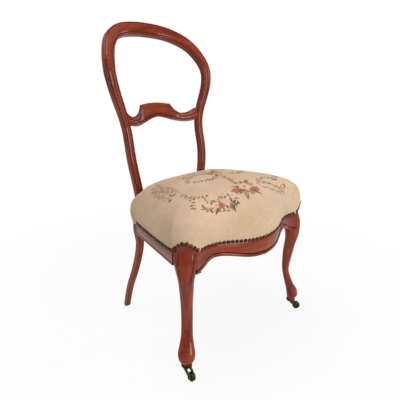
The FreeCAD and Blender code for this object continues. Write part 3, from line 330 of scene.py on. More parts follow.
# %% A smooth line through points
class SmoothLine:
    def __init__(self, points):
        self.points = np.asarray(points, float)
        lengths = np.linalg.norm(np.diff(self.points, axis=0), axis=1)
        self.knots = np.concatenate([[0.0], np.cumsum(lengths)])
        count = len(self.points)
        matrix, right = np.eye(count), np.zeros((count, self.points.shape[1]))
        for i in range(1, count - 1):
            before, after = lengths[i - 1], lengths[i]
            matrix[i, i - 1:i + 2] = before / 6, (before + after) / 3, after / 6
            step_on, step_back = self.points[i + 1] - self.points[i], self.points[i] - self.points[i - 1]
            right[i] = step_on / after - step_back / before
        self.bend = np.linalg.solve(matrix, right)

    def at(self, place):
        """Points at distances along the line."""
        place = np.atleast_1d(np.asarray(place, float))
        i = np.clip(np.searchsorted(self.knots, place) - 1, 0, len(self.knots) - 2)
        width = (self.knots[i + 1] - self.knots[i])[:, None]
        b = (place - self.knots[i])[:, None] / width
        a = 1 - b
        curve = ((a ** 3 - a) * self.bend[i] + (b ** 3 - b) * self.bend[i + 1]) * width ** 2 / 6
        return a * self.points[i] + b * self.points[i + 1] + curve

    def height_where(self, column, value):
        """The first place along the line at which one coordinate reaches a value."""
        places = np.linspace(0, self.knots[-1], 4000)
        reached = self.at(places)[:, column] >= value
        return places[int(np.argmax(reached))]


def graph(table):
    """A smooth function of one number, through (place, value) rows."""
    rows = np.asarray(table, float)
    line = SmoothLine(rows)
    places = np.linspace(0, line.knots[-1], 1500)
    curve = line.at(places)
    return lambda x: np.interp(x, curve[:, 0], curve[:, 1])


def straight_graph(table):
    rows = np.asarray(table, float)
    return lambda x: np.interp(x, rows[:, 0], rows[:, 1])


def bend_through(start, middle, end, count):
    """A gentle curve through three points, without its last point."""
    start, middle, end = (np.asarray(p, float) for p in (start, middle, end))
    control = middle * 2 - (start + end) / 2
    t = np.linspace(0, 1, count, endpoint=False)[:, None]
    return (1 - t) ** 2 * start + 2 * t * (1 - t) * control + t ** 2 * end


# %% [markdown]
# ## Rings into meshes
# Nearly every member is a section carried along a line, so one helper joins a stack of rings into a
# closed skin. It shades smooth with sharp edges kept where the skin really turns, writes the grain
# coordinate, hides the frame's solids that the piece replaces and hangs the piece on the chair.

# %% Skin a stack of rings
def skin(name, rings, grain, finish, nodes, groove=None, caps=True, sharp=38.0):
    """rings and grain are arrays of the shape (rings, points, 3), in drawing millimetres."""
    rows, columns = rings.shape[:2]
    piece_mesh = bpy.data.meshes.new(name)
    faces = []
    for i in range(rows - 1):
        for j in range(columns):
            k = (j + 1) % columns
            faces.append((i * columns + j, i * columns + k, (i + 1) * columns + k, (i + 1) * columns + j))
    if caps:
        faces.append(tuple(range(columns))[::-1])
        faces.append(tuple((rows - 1) * columns + j for j in range(columns)))
    piece_mesh.from_pydata(metres(rings.reshape(-1, 3)).tolist(), [], faces)
    piece_mesh.attributes.new("grain", "FLOAT_VECTOR", "POINT").data.foreach_set(
        "vector", (np.asarray(grain, float).reshape(-1, 3) / 1000).ravel())
    if groove is not None:
        depth = piece_mesh.attributes.new("groove", "FLOAT", "POINT")
        depth.data.foreach_set("value", np.asarray(groove).ravel())
    tidy = bmesh.new()
    tidy.from_mesh(piece_mesh)
    bmesh.ops.recalc_face_normals(tidy, faces=tidy.faces)
    tidy.to_mesh(piece_mesh)
    tidy.free()
    piece_mesh.shade_smooth()
    piece_mesh.set_sharp_from_angle(angle=math.radians(sharp))
    piece_mesh.materials.append(finish)
    piece = bpy.data.objects.new(name, piece_mesh)
    bpy.context.scene.collection.objects.link(piece)
    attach(piece, "chair")
    if nodes:
        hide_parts(*nodes)
    print(name, len(piece_mesh.vertices), "points")
    return piece


# %% [markdown]
# ## The back
# A stile and the crest share one moulding: a bead along the inner edge, a rounded ridge in the
# middle and a bead outside, with narrow quirks between. The ridge is strong on the stiles and melts
# into the broad face of the crest. On the rear legs below the seat the moulding fades out.

# %% The line of the back
BACK_HEIGHT, LOOP_HALF, LOOP_WIDEST = 905.5, 195.0, 757.0
WAIST_HALF, WAIST_HEIGHT, BOW_RADIUS = 153.0, 540.0, 285.0
CREST_JOINT = 790.0


def lean(height):
    rise = height - 500.0
    return 378.0 + 0.185 * rise + 0.000135 * rise * rise


def on_back(x, height):
    return (x, lean(height) - (BOW_RADIUS - math.sqrt(BOW_RADIUS ** 2 - x * x)), height)


shoulder = BACK_HEIGHT - LOOP_WIDEST
swell = LOOP_HALF - WAIST_HALF
leg_points = [(173.5, 383.0, -14.0), (172.5, 379.5, 0.0), (166.0, 357.0, 90.0), (159.0, 338.5, 145.0),
              (152.5, 324.5, 200.0), (151.0, 314.0, 250.0), (155.0, 311.0, 285.0), (155.0, 311.0, 318.0),
              (150.0, 312.0, 340.0), (142.0, 316.0, 372.0)]
stile_points = [on_back(x, z) for x, z in (
    (WAIST_HALF - 12.5, 408.0), (WAIST_HALF - 8.0, 443.0), (WAIST_HALF - 1.8, WAIST_HEIGHT - 52),
    (WAIST_HALF, WAIST_HEIGHT), (WAIST_HALF + 0.5, WAIST_HEIGHT + 52),
    (WAIST_HALF + 0.25 * swell, LOOP_WIDEST - 0.81 * shoulder),
    (WAIST_HALF + 0.66 * swell, LOOP_WIDEST - 0.485 * shoulder),
    (LOOP_HALF - 2.0, LOOP_WIDEST - 0.16 * shoulder), (LOOP_HALF, LOOP_WIDEST),
    (LOOP_HALF - 3.2, LOOP_WIDEST + 0.19 * shoulder), (LOOP_HALF * 0.915, LOOP_WIDEST + 0.44 * shoulder),
    (LOOP_HALF * 0.793, LOOP_WIDEST + 0.676 * shoulder), (LOOP_HALF * 0.62, LOOP_WIDEST + 0.84 * shoulder),
    (LOOP_HALF * 0.413, LOOP_WIDEST + 0.943 * shoulder), (LOOP_HALF * 0.2, LOOP_WIDEST + 0.987 * shoulder),
    (0.0, BACK_HEIGHT), (-LOOP_HALF * 0.2, LOOP_WIDEST + 0.987 * shoulder))]
back_line = SmoothLine(leg_points + stile_points)
foot_place = back_line.height_where(2, FLOOR)
joint_place = back_line.height_where(2, CREST_JOINT)
crest_place = float(back_line.knots[-2])
print("length from foot to crest:", round(crest_place - foot_place), "mm")

# %% [markdown]
# The width and depth of the member change with its height, so they are read from small tables. The
# front of the section is three rounded humps with narrow quirks between them.

# %% The moulded section
member_width = straight_graph([
    (0, 16.0), (145, 17.5), (250, 20.5), (285, 34.0), (318, 34.0), (372, 26.0), (410, 25.0), (610, 25.0),
    (667, 27.2), (757, 29.3), (841, 33.5), (890.5, 37.5), (905.5, 39.5)])
member_depth = straight_graph([
    (0, 16.5), (250, 18.0), (285, 24.0), (318, 24.0), (372, 20.0), (410, 18.5), (630, 18.5), (757, 21.5),
    (905.5, 22.0)])
# The moulding fades in between these heights, and the crest's own proportions further up.
moulding = straight_graph([(330, 0.12), (420, 1.0)])
crest_share = straight_graph([(757, 0.0), (885.5, 1.0)])


def hump(count, start, end, foot, top):
    """Points of a rounded ridge between two places across the section."""
    turn = np.linspace(0, math.pi, count)
    across = (start + end) / 2 - (end - start) / 2 * np.cos(turn)
    return [(a, foot + (top - foot) * height ** 0.8) for a, height in zip(across, np.sin(turn))]


def moulded_section(height):
    """Points across the member, and how deep in a groove each one lies."""
    width, depth = float(member_width(height)), float(member_depth(height))
    strength, crest = float(moulding(height)), float(crest_share(height))
    inner, outer = 4.6 + 1.9 * crest, 4.6 - 2.1 * crest
    quirk, ridge = 2.7 * strength, -1.6 * strength
    gap = 0.7
    points = hump(12, 0.3, inner, quirk, 0.1)
    points += hump(30, inner + gap, width - outer - gap, quirk * (1 - 0.35 * crest), ridge)
    points += hump(12, width - outer, width - 0.3, quirk * (1 - 0.6 * crest), 0.1)
    front = np.array(points)
    # How deep each front point lies in a quirk; the wood finish paints shade there.
    groove = np.clip(front[:, 1] / 2.0, 0, 1) ** 1.3
    groove[0] = groove[-1] = 0.0
    corner = 3.5
    points += [(width, quirk + (depth - corner - quirk) * t) for t in (0.0, 0.35, 0.7, 1.0)]
    points += [(width - corner + corner * math.cos(a), depth - corner + corner * math.sin(a))
               for a in np.linspace(0, math.pi / 2, 8)[1:]]
    points += [(corner + (width - 2 * corner) * t, depth) for t in (0.75, 0.5, 0.25)]
    points += [(corner - corner * math.sin(a), depth - corner + corner * math.cos(a))
               for a in np.linspace(0, math.pi / 2, 8)]
    points += [(0.0, quirk + (depth - corner - quirk) * t) for t in (0.7, 0.35, 0.0)]
    return np.array(points), np.concatenate([groove, np.zeros(len(points) - len(front))])


print("points round one ring of the back:", len(moulded_section(WAIST_HEIGHT)[0]))


# %% [markdown]
# A bevelled curve keeps one profile all the way, so the rings are made point by point. Each stands
# square to the line of the back, with its outer corner on the line. Towards the top the outward
# direction turns slightly backwards, as the crest leans.

# %% Carry the section along the back
def back_rings(places, side=1):
    """Rings, grain and grooves of a stretch of the back; side -1 gives its mirror image."""
    rings, grain, grooves = [], [], []
    for place in places:
        corner = back_line.at(place)[0]
        along = back_line.at(place + 0.5)[0] - back_line.at(place - 0.5)[0]
        along /= np.linalg.norm(along)
        outward = np.array([along[2], 0.0, -along[0]])
        outward /= np.linalg.norm(outward)
        outward[1] = 0.4 * max(outward[2], 0.0)
        outward -= along * outward.dot(along)
        outward /= np.linalg.norm(outward)
        backward = np.cross(along, outward)
        section, groove = moulded_section(corner[2])
        width = float(member_width(corner[2]))
        ring = corner - np.outer(width - section[:, 0], outward) + np.outer(section[:, 1], backward)
        ring[:, 0] *= side
        rings.append(ring)
        grain.append(np.column_stack([np.full(len(section), place * side), section[:, 0], section[:, 1]]))
        grooves.append(groove)
    return np.array(rings), np.array(grain), np.array(grooves)


for side, word in ((1, "right"), (-1, "left")):
    rings, grain, groove = back_rings(np.linspace(foot_place, joint_place, 260), side)
    rings[0, :, 2] = FLOOR
    skin("stile_and_rear_leg_" + word, rings, grain, mahogany,
         ["rear_leg_stile_" + word], groove)

right_half = np.linspace(joint_place + 0.25, crest_place, 90)
rings, grain, groove = back_rings(right_half)
left_rings, left_grain, left_groove = back_rings(right_half[:-1][::-1], -1)
left_grain[:, :, 0] = 2 * crest_place + left_grain[:, :, 0]
skin("moulded_crest_rail", np.concatenate([rings, left_rings]), np.concatenate([grain, left_grain]),
     mahogany, ["crest_rail"], np.concatenate([groove, left_groove]))

# %% [markdown]
# ## The mid rail
# This is a bowed board with a flat raised tablet in the middle. Each arm carries two ridges with a
# hollow between them, and a bead follows the whole wavy lower edge. The board is skinned from
# upright slices, with the carving as a relief added to the front of each slice.

# %% Outline and relief of the mid rail
MID_HEIGHT, MID_FRONT, MID_BOW, MID_LEAN, MID_THICK = 620.5, 397.0, 235.0, 0.32, 14.0
TABLET_HALF, TABLET_TOP, TABLET_CROWN, TABLET_RISE = 55.5, 658.5, 663.5, 1.8

mid_low = graph([(0.0, 620.5), (20.0, 617.5), (40.0, 612.0), (58.0, 606.5), (74.0, 602.5), (88.0, 600.5),
                 (104.0, 601.0), (124.0, 605.0), (142.0, 610.5)])
arm_top = graph([(55.5, 656.5), (61.0, 648.5), (68.5, 638.8), (78.5, 631.8), (91.0, 628.3), (106.5, 629.3),
                 (122.5, 635.5), (142.0, 649.8)])


def mid_top(x):
    crown = TABLET_CROWN - (TABLET_CROWN - TABLET_TOP) * (x / TABLET_HALF) ** 2
    return np.where(x < TABLET_HALF, crown, arm_top(x))


def smooth_step(value, low, high):
    t = np.clip((value - low) / (high - low), 0, 1)
    return t * t * (3 - 2 * t)


def ridge(distance, half_width):
    """Height share of a rounded ridge at a distance from its middle line."""
    return np.sqrt(np.clip(1 - (distance / half_width) ** 2, 0, 1))


def mid_relief(x, z):
    """How far the carving stands forward on the mid rail's front, and how deep its grooves are."""
    low, top = mid_low(x), mid_top(x)
    arm = smooth_step(x, 60.0, 72.0)
    edge_x = np.interp(z, [MID_HEIGHT - 8, 641.0, 656.5], [81.0, 64.0, 55.5])
    inside, above = edge_x - x, z - low - 11.0
    tablet = smooth_step(inside, 0.0, 1.6) * smooth_step(above, 0.0, 1.6) * TABLET_RISE
    middle = (low + 9.6 + top - 9.6) / 2
    ridges = (1.7 * ridge(z - low - 4.6, 3.9) + 1.7 * ridge(z - (top - 5.2), 3.6) * arm
              + 1.3 * ridge(z - middle, 3.6) * smooth_step(x, 78.0, 96.0))
    groove = np.maximum(ridge(z - low - 9.4, 1.3), ridge(z - (top - 9.6), 1.1) * arm)
    groove = np.maximum(groove, ridge(inside, 1.5) * (above > -1) * (x > 40))
    return tablet + ridges - 1.2 * groove, groove


print("mid rail, height of the board in the middle:", float(mid_top(0.0) - mid_low(0.0)), "mm")


# %% [markdown]
# The slices lie closest together beside the tablet, where the relief changes fastest. Each one has a
# carved front with rounded edges and a plain back, and the board's bow moves it forward or back.

# %% Skin the mid rail from upright slices
half_slices = np.concatenate([
    np.linspace(0, 54.0, 40), np.linspace(55.0, 84.0, 50), np.linspace(85.0, 134.0, 50)])
slices = np.concatenate([-half_slices[:0:-1], half_slices])
rings, grain, grooves = [], [], []
for x in slices:
    distance = abs(x)
    low, top = float(mid_low(distance)), float(mid_top(distance))
    edge = 2.0
    z_front = np.linspace(low + 0.4, top - 0.4, 90)
    forward, groove = mid_relief(distance, z_front)
    near_edge = np.minimum(np.minimum(z_front - low, top - z_front) / edge, 1)
    rounding = edge * (1 - np.sqrt(1 - (1 - near_edge) ** 2))
    front = [(-f + r, z) for f, r, z in zip(forward, rounding, z_front)]
    back = [(MID_THICK - edge, top), (MID_THICK, top - edge), (MID_THICK, (low + top) / 2),
            (MID_THICK, low + edge), (MID_THICK - edge, low)]
    ring = np.array(front + back)
    bow = MID_BOW - math.sqrt(MID_BOW ** 2 - x * x)
    y = MID_FRONT + MID_LEAN * (ring[:, 1] - MID_HEIGHT) - bow + ring[:, 0]
    rings.append(np.column_stack([np.full(len(ring), x), y, ring[:, 1]]))
    grain.append(np.column_stack([np.full(len(ring), x + 600), ring[:, 1], ring[:, 0]]))
    # The groove depth also sets the painted shade in the wood finish.
    grooves.append(np.concatenate([groove, np.zeros(len(back))]))
skin("mid_rail_with_tablet", np.array(rings), np.array(grain), mahogany, ["mid_rail"],
     np.array(grooves), sharp=50)

# %% [markdown]
# ## The front legs
# A cabriole leg swells at the knee, narrows at the ankle and ends in a small pad over the castor.
# Its section is a circle made slightly square. The knee stops under the cover in an arch, and
# the square post inside carries on up to hold the rails.

# %% Leg sections and the arch over the knee
SQRT_HALF = math.sqrt(0.5)
ARCH_CROWN, ARCH_FOOT, KNEE_HALF = 377.0, 350.0, 32.5
LEG_BOTTOM = 42.0

# Each row is a height, the reach outwards and inwards along the diagonal, and the half width.
leg_table = np.array([
    (LEG_BOTTOM, 10.5, -11.5, 12.3), (48.0, 13.0, -12.0, 13.3), (55.0, 17.5, -13.5, 17.5),
    (63.0, 20.0, -15.0, 21.0), (72.0, 19.0, -16.5, 22.5), (80.0, 16.5, -18.0, 22.0),
    (90.0, 10.0, -20.5, 19.8), (100.0, 4.0, -23.0, 18.0), (114.0, -2.5, -27.0, 15.8),
    (130.0, -8.5, -31.0, 15.0), (150.0, -14.0, -35.0, 14.8), (168.0, -13.5, -36.5, 15.0),
    (190.0, -10.0, -37.0, 15.3), (218.0, -5.0, -36.3, 16.2), (253.0, 2.0, -33.0, 18.2),
    (286.0, 10.0, -36.0, 21.5), (300.0, 10.5, -40.0, 25.0), (314.0, 10.0, -40.0, 28.0),
    (327.0, 8.0, -40.0, 30.5), (345.0, 2.0, -40.0, 32.0), (360.0, -3.0, -40.0, 32.5),
    (380.0, -6.5, -40.0, 31.0)])
leg_out, leg_in, leg_half = (graph(leg_table[:, [0, column]]) for column in (1, 2, 3))


def arch(side):
    """Height of the cover's edge over the knee, at a distance to the side of its middle."""
    share = np.clip(np.abs(side) / (KNEE_HALF + 1.0), 0, 1)
    return ARCH_FOOT + (ARCH_CROWN - ARCH_FOOT) * (1 - share ** 1.55)


def leg_places(out, side, z, mirror):
    x = PIVOT_SPREAD + SQRT_HALF * (out + side)
    y = SQRT_HALF * (side - out)
    return np.stack([x * mirror, y, z], axis=-1)


print("height of the cover's edge at the middle of a knee:", arch(0.0), "mm")


# %% [markdown]
# The rings climb from the castor to the arch under the cover, so the top one isn't level. A raised
# rim with a fine groove inside it follows the edges of the knee and fades out below it.

# %% Skin the legs
compass = [(1, 0), (0, 1), (-1, 0), (0, -1)]
corner_share = 0.73
section = np.concatenate([
    bend_through(a, ((a[0] + b[0]) * corner_share, (a[1] + b[1]) * corner_share), b, 26)
    for a, b in zip(compass, compass[1:] + compass[:1])])


RIM_HALF, RIM_RISE, RIM_GROOVE, PANEL_DEPTH = 2.4, 1.5, 0.9, 0.7


def leg_piece(word, mirror):
    top = arch(section[:, 1] * 32.0)
    rings, grain, grooves = [], [], []
    for share in np.linspace(0, 1, 190):
        z = LEG_BOTTOM + (top - LEG_BOTTOM) * share
        out, inner, half = leg_out(z), leg_in(z), leg_half(z)
        s = (out + inner) / 2 + (out - inner) / 2 * section[:, 0]
        w = half * section[:, 1]
        front = smooth_step(section[:, 0], 0.0, 0.4)
        knee = smooth_step(z, 228.0, 262.0)
        rim_place = np.maximum(np.abs(w) - half * 0.72, z - arch(w) + 8.5)
        rim = RIM_RISE * ridge(rim_place, RIM_HALF) * front * knee
        groove = ridge(rim_place + 3.2, 1.2) * front * knee
        panel = PANEL_DEPTH * smooth_step(-rim_place, 2.0, 5.0) * front * knee
        s = s + rim - RIM_GROOVE * groove - panel
        rings.append(leg_places(s, w, z, mirror))
        grain.append(np.column_stack([z, w + 300 * mirror, s]))
        # A fainter painted shade in the groove inside the knee's rim.
        grooves.append(groove * 0.45)
    for inward, lift in ((0.985, 0.0), (0.80, -0.5)):
        s = (out + inner) / 2 + (s - (out + inner) / 2) * inward
        rings.append(leg_places(s, w * inward, z + lift, mirror))
        grain.append(np.column_stack([z, w + 300 * mirror, s]))
        grooves.append(groove * 0)
    return skin("cabriole_leg_" + word, np.array(rings), np.array(grain), mahogany,
                ["front_leg_" + word], np.array(grooves), sharp=60)


def post_piece(word, mirror):
    """The square post above the knee, with its outer corner cut off under the cover."""
    outline = np.array([(196.5, -11.0), (211.0, -11.0), (238.5, 16.5), (238.5, 31.5), (196.5, 31.5)])
    rings, grain = [], []
    for z, inset in ((318.0, 1.5), (319.5, 0.0), (372.5, 0.0), (374.0, 1.5)):
        centre = outline.mean(axis=0)
        points = centre + (outline - centre) * (1 - inset / 25)
        rings.append(np.column_stack([points[:, 0] * mirror, points[:, 1], np.full(5, z)]))
        grain.append(np.column_stack([np.full(5, z), points]))
    return skin("leg_post_" + word, np.array(rings), np.array(grain), mahogany, [], sharp=20)


for word, mirror in (("right", 1), ("left", -1)):
    leg_piece(word, mirror)
    post_piece(word, mirror)

# %% [markdown]
# ## The seat rails
# The front rail is a serpentine board: it bows out in the middle and curves in beside each leg. Its
# face is gently rounded with a bead along the lower edge. The upper part is set back so that the
# cover lies flush. The side rails are plain boards with the same set-back.

# %% Lines of the rails
NAIL_SIDE, SEAT_FALL, RAIL_FRONT_Y, RAIL_ABOVE = 352.0, 0.115, 31.5, 22.0
SIDE_DEPTH, SIDE_FRONT_X, SIDE_REAR_X, BLOCK_FRONT = 35.0, 242.0, 158.0, 311.0
FRONT_BOW, RAIL_THICK, REBATE = -60.0, 24.0, 3.0

front_face = graph([(0.0, FRONT_BOW), (37.0, -55.0), (63.0, -47.0), (92.0, -34.0), (124.0, -19.0),
                    (150.0, -12.0), (175.0, -10.5), (196.5, -13.5), (204.5, -15.5)])
apron_low = graph([(0.0, 302.0), (52.0, 306.0), (76.0, 311.0), (102.0, 317.0), (129.0, 321.0),
                   (148.0, 320.5), (162.0, 314.5), (174.0, 306.0), (187.0, 300.0), (204.5, 297.0)])
front_nails = graph([(0.0, 347.0), (37.0, 347.3), (63.0, 349.0), (92.0, 351.0), (124.0, 352.0),
                     (150.0, 352.0), (175.0, 351.5), (204.5, 351.0)])


def nail_plane(y):
    return NAIL_SIDE - SEAT_FALL * (y - RAIL_FRONT_Y)


def side_face(y):
    return SIDE_FRONT_X + (SIDE_REAR_X - SIDE_FRONT_X) * (y - RAIL_FRONT_Y) / (BLOCK_FRONT - RAIL_FRONT_Y)


print("seat frame over its side rails, front and back:", 2 * SIDE_FRONT_X, 2 * SIDE_REAR_X, "mm")


# %% [markdown]
# The rail is sliced across its length. Each slice is turned square to the serpentine line, so that
# the bead and the rounded face keep their shape round the bends.

# %% Skin the front rail
BEAD_HALF, FACE_START = 4.2, 9.4
stations = np.linspace(-204.0, 204.0, 240)
rings, grain, grooves = [], [], []
for x in stations:
    distance = abs(x)
    y = float(front_face(distance))
    slope = (float(front_face(distance + 0.5)) - float(front_face(max(distance - 0.5, 0)))) * np.sign(x)
    across = np.array([slope, -1.0]) / math.hypot(slope, 1.0)
    low, nail = float(apron_low(distance)), float(front_nails(distance))
    top = nail_plane(y + 12.0) + RAIL_ABOVE
    ledge = max(low + 1.0, nail_plane(y + 14.0) - SIDE_DEPTH - 2.4)
    face = [(RAIL_THICK, ledge), (14.2, ledge), (14.0, low), (2.6, low)]
    face += [(0.6 - 2.0 * math.sin(a), low + BEAD_HALF - BEAD_HALF * math.cos(a))
             for a in np.linspace(0.15, math.pi - 0.25, 14)]
    face += [(1.5, low + 8.4), (2.2, low + 9.0), (1.2, low + FACE_START)]
    height = nail - 0.4 - (low + FACE_START)
    face += [(0.9 - 1.9 * math.sin(math.pi * t) ** 0.7, low + FACE_START + height * t)
             for t in np.linspace(0.04, 1, 20)]
    face += [(REBATE, nail), (REBATE, top), (RAIL_THICK, top)]
    ring = np.array(face)
    points = np.array([x, y]) - np.outer(ring[:, 0], across)
    rings.append(np.column_stack([points, ring[:, 1]]))
    grain.append(np.column_stack([np.full(len(ring), x + 1500), ring[:, 1], ring[:, 0]]))
    # Painted shade along the quirk above the bead.
    grooves.append(ridge(ring[:, 1] - low - 9.0, 1.2) * (ring[:, 0] < 3))
skin("serpentine_front_rail", np.array(rings), np.array(grain), mahogany, ["front_seat_rail"],
     np.array(grooves), sharp=45)

# %% [markdown]
# The side rails are straight and fall towards the rear with the seat. They are sliced in the same
# way, with a plainer section.

# %% Skin the side rails
SIDE_BEAD_HALF = 2.8


def side_rail_piece(word, mirror):
    rings, grain = [], []
    for y in np.linspace(RAIL_FRONT_Y - 1.0, BLOCK_FRONT + 0.5, 60):
        nail = nail_plane(y)
        low, top, face_x = nail - SIDE_DEPTH, nail + RAIL_ABOVE, side_face(y)
        ring = [(RAIL_THICK, low), (3.2, low)]
        ring += [(0.4 - 1.2 * math.sin(a), low + SIDE_BEAD_HALF - SIDE_BEAD_HALF * math.cos(a))
                 for a in np.linspace(0.2, math.pi, 10)]
        ring += [(0.9, low + 6.2), (0.2, low + 7.2), (-0.3, low + 16.0), (0.0, nail - 1.0), (1.0, nail),
                 (REBATE, nail), (REBATE, top), (RAIL_THICK, top)]
        ring = np.array(ring)
        rings.append(np.column_stack([(face_x - ring[:, 0]) * mirror, np.full(len(ring), y), ring[:, 1]]))
        grain.append(np.column_stack([np.full(len(ring), y + 2200 * mirror), ring[:, 1], ring[:, 0]]))
    return skin("side_rail_" + word, np.array(rings), np.array(grain), mahogany,
                ["side_seat_rail_" + word], sharp=45)


for word, mirror in (("right", 1), ("left", -1)):
    side_rail_piece(word, mirror)

# %% [markdown]
# ## The seat
# The cover is one needlepoint panel drawn tight over the stuffing. Its outline follows the rails,
# rises almost upright, rolls over a full edge and crowns in the middle. It is made as columns that
# climb from the nail line to the crown. A coarse copy is inflated as cloth, held along its nailed
# edge, and the small swelling that this gives is added to the fine mesh.

# %% Outline of the seat
SEAT_CENTRE, SEAT_CROWN, SEAT_REACH = 140.0, 148.0, 200.0
SIDE_TOP = 60.0
INSET = 0.9
REAR_LINE = 336.1


def seat_base(y):
    return 352.0 - 0.0955 * (y - FRONT_BOW)


def seat_corners(crown):
    """Points of the right half of the outline: start, middle and end of each bend."""
    front_y = FRONT_BOW + INSET
    middle = (100.0, front_y + 30.0 - 6.0 * crown)
    hollow = (150.0, front_y + 48.0 - 12.0 * crown)
    fore, knee = (196.0, FRONT_BOW + 46.0), (225.5, 1.5)
    side, rear = (SIDE_FRONT_X - INSET, 32.5), (side_face(305.0) - INSET, 305.0)
    back = (152.0, REAR_LINE)
    return [((0.0, front_y), (52.0, front_y + 9.0), middle), (middle, hollow, fore), (fore, knee, side),
            (side, (side_face(170.0) - INSET + 4.0, 170.0), rear), (rear, (161.5, 323.0), back),
            (back, (76.0, REAR_LINE), (0.0, REAR_LINE))]


def seat_outline(crown, counts):
    right = np.concatenate([bend_through(*row, count) for row, count in zip(seat_corners(crown), counts)])
    last = np.array([[0.0, REAR_LINE]])
    left = right[:0:-1] * (-1, 1)
    points = np.concatenate([right, last, left])
    for _ in range(6):
        points = (np.roll(points, 1, axis=0) + 2 * points + np.roll(points, -1, axis=0)) / 4
    return points


profile = SmoothLine([
    (SEAT_REACH, -16.0), (SEAT_REACH, 8.0), (203.75, 28.0), (204.25, 50.0), (200.5, 71.0), (193.0, 88.0),
    (177.0, 103.0), (148.0, 118.0), (106.0, 131.5), (60.0, 141.5), (24.0, 146.5), (0.5, SEAT_CROWN)])
profile_length = float(profile.knots[-1])
print("way over the cover from its edge to the crown:", round(profile_length), "mm")

# %% [markdown]
# Every column starts at the nails, which follow the rails and arch over the knees, and climbs along
# one side profile. Near the crown the outline loses its hollows, because the stuffing fills them.

# %% Columns from the nail line to the crown
def edge_height(points):
    """Height of the cover's lower edge at places on the outline."""
    x, y = np.abs(points[:, 0]), points[:, 1]
    side = SQRT_HALF * (x - PIVOT_SPREAD + y)
    front = front_nails(x)
    over_knee = arch(side)
    beside_knee = (y < 60.0) & (x > 180.0)
    corner_lift = 2.4 * np.exp(-((np.abs(side) - KNEE_HALF - 1.0) / 3.0) ** 2) * beside_knee
    inside_knee = (np.abs(side) < KNEE_HALF + 1.0) & (y < 60.0) & (x > 190.0)
    plain = np.where(y < 20.0, front, nail_plane(y))
    return np.where(inside_knee, over_knee, plain) + corner_lift


def seat_grid(counts, rows):
    """Points of the cover, from its lower edge to its crown, and its flat pattern coordinates."""
    straight, filled = seat_outline(0.0, counts), seat_outline(1.0, counts)
    bottom = edge_height(straight)
    levels = np.linspace(-16.0, SIDE_TOP, 300)
    up_the_side = np.linspace(0, profile_length * 0.4, 600)
    places = np.interp(levels, profile.at(up_the_side)[:, 1], up_the_side)
    start = np.interp(bottom - seat_base(straight[:, 1]), levels, places)
    grid, flat = [], []
    for t in np.linspace(0, 1, rows):
        place = start + (profile_length - start) * t
        reach, level = profile.at(place).T
        crown = np.clip((level - SIDE_TOP) / (SEAT_CROWN - SIDE_TOP), 0, 1)[:, None]
        outline = straight * (1 - crown) + filled * crown
        scale = (reach / SEAT_REACH)[:, None]
        plan = np.array([0, SEAT_CENTRE]) + (outline - (0, SEAT_CENTRE)) * scale
        grid.append(np.column_stack([plan, seat_base(plan[:, 1]) + level]))
        away = outline - (0, SEAT_CENTRE)
        unrolled = (profile_length - place)[:, None] / SEAT_REACH
        flat.append(np.column_stack([away * unrolled, level]))
    return np.array(grid), np.array(flat)


# %% [markdown]
# The coarse copy has its own cloth run. Pressure pushes it out like the springs and hair inside do,
# the nailed edge is pinned, and no point may end up more than a few millimetres from where it began.

# %% Inflate a coarse copy
SWELL_CAP = 4.0
COARSE_COUNTS, COARSE_ROWS = (7, 7, 5, 20, 3, 8), 26
FINE_COUNTS, FINE_ROWS = (44, 44, 40, 120, 16, 60), 150


def inflate(grid):
    """Displacement of each point of a coarse cover under air pressure, in millimetres."""
    rows, columns = grid.shape[:2]
    work = bpy.data.meshes.new("cloth_work")
    faces = [(i * columns + j, i * columns + (j + 1) % columns, (i + 1) * columns + (j + 1) % columns,
              (i + 1) * columns + j) for i in range(rows - 1) for j in range(columns)]
    faces.append(tuple((rows - 1) * columns + j for j in range(columns)))
    work.from_pydata(metres(grid.reshape(-1, 3)).tolist(), [], faces)
    cloth_object = bpy.data.objects.new("cloth_work", work)
    bpy.context.scene.collection.objects.link(cloth_object)
    held = cloth_object.vertex_groups.new(name="held")
    held.add(list(range(columns * 2)), 1.0, "REPLACE")
    cloth = cloth_object.modifiers.new("cloth", "CLOTH")
    cloth.settings.quality = 6
    cloth.settings.mass = 0.4
    cloth.settings.tension_stiffness = cloth.settings.compression_stiffness = 12
    cloth.settings.use_pressure = True
    cloth.settings.uniform_pressure_force = 4.0
    cloth.settings.vertex_group_mass = "held"
    cloth.settings.effector_weights.gravity = 0
    scene = bpy.context.scene
    for step in range(1, 21):
        scene.frame_set(step)
    swollen = cloth_object.evaluated_get(bpy.context.evaluated_depsgraph_get()).to_mesh()
    moved = np.empty(rows * columns * 3)
    swollen.vertices.foreach_get("co", moved)
    scene.frame_set(1)
    bpy.data.objects.remove(cloth_object)
    change = moved.reshape(-1, 3) * 1000 - metres(grid.reshape(-1, 3)) * 1000
    length = np.linalg.norm(change, axis=1, keepdims=True)
    change *= np.minimum(1.0, SWELL_CAP / np.maximum(length, 1e-6))
    print("cloth swelling in mm, mean and largest:", length.mean().round(2), length.max().round(2))
    return change.reshape(rows, columns, 3)


def more_rows(field, rows):
    """A coarse field of vectors, carried over to a grid with more rows."""
    down, known = np.linspace(0, field.shape[0] - 1, rows), np.arange(field.shape[0])
    return np.array([[np.interp(down, known, field[:, j, k]) for k in range(3)]
                     for j in range(field.shape[1])]).transpose(2, 0, 1)


coarse, _ = seat_grid(COARSE_COUNTS, COARSE_ROWS)
fine, fine_flat = seat_grid(FINE_COUNTS, FINE_ROWS)
print("fine cover grid:", fine.shape)

# %% [markdown]
# The coarse swelling is carried over to the fine grid by its place around the outline and up the
# side. Then the nails draw the edge in at even steps, the crown is lifted behind the middle, and the
# cover dips where it is tucked in around the stiles.

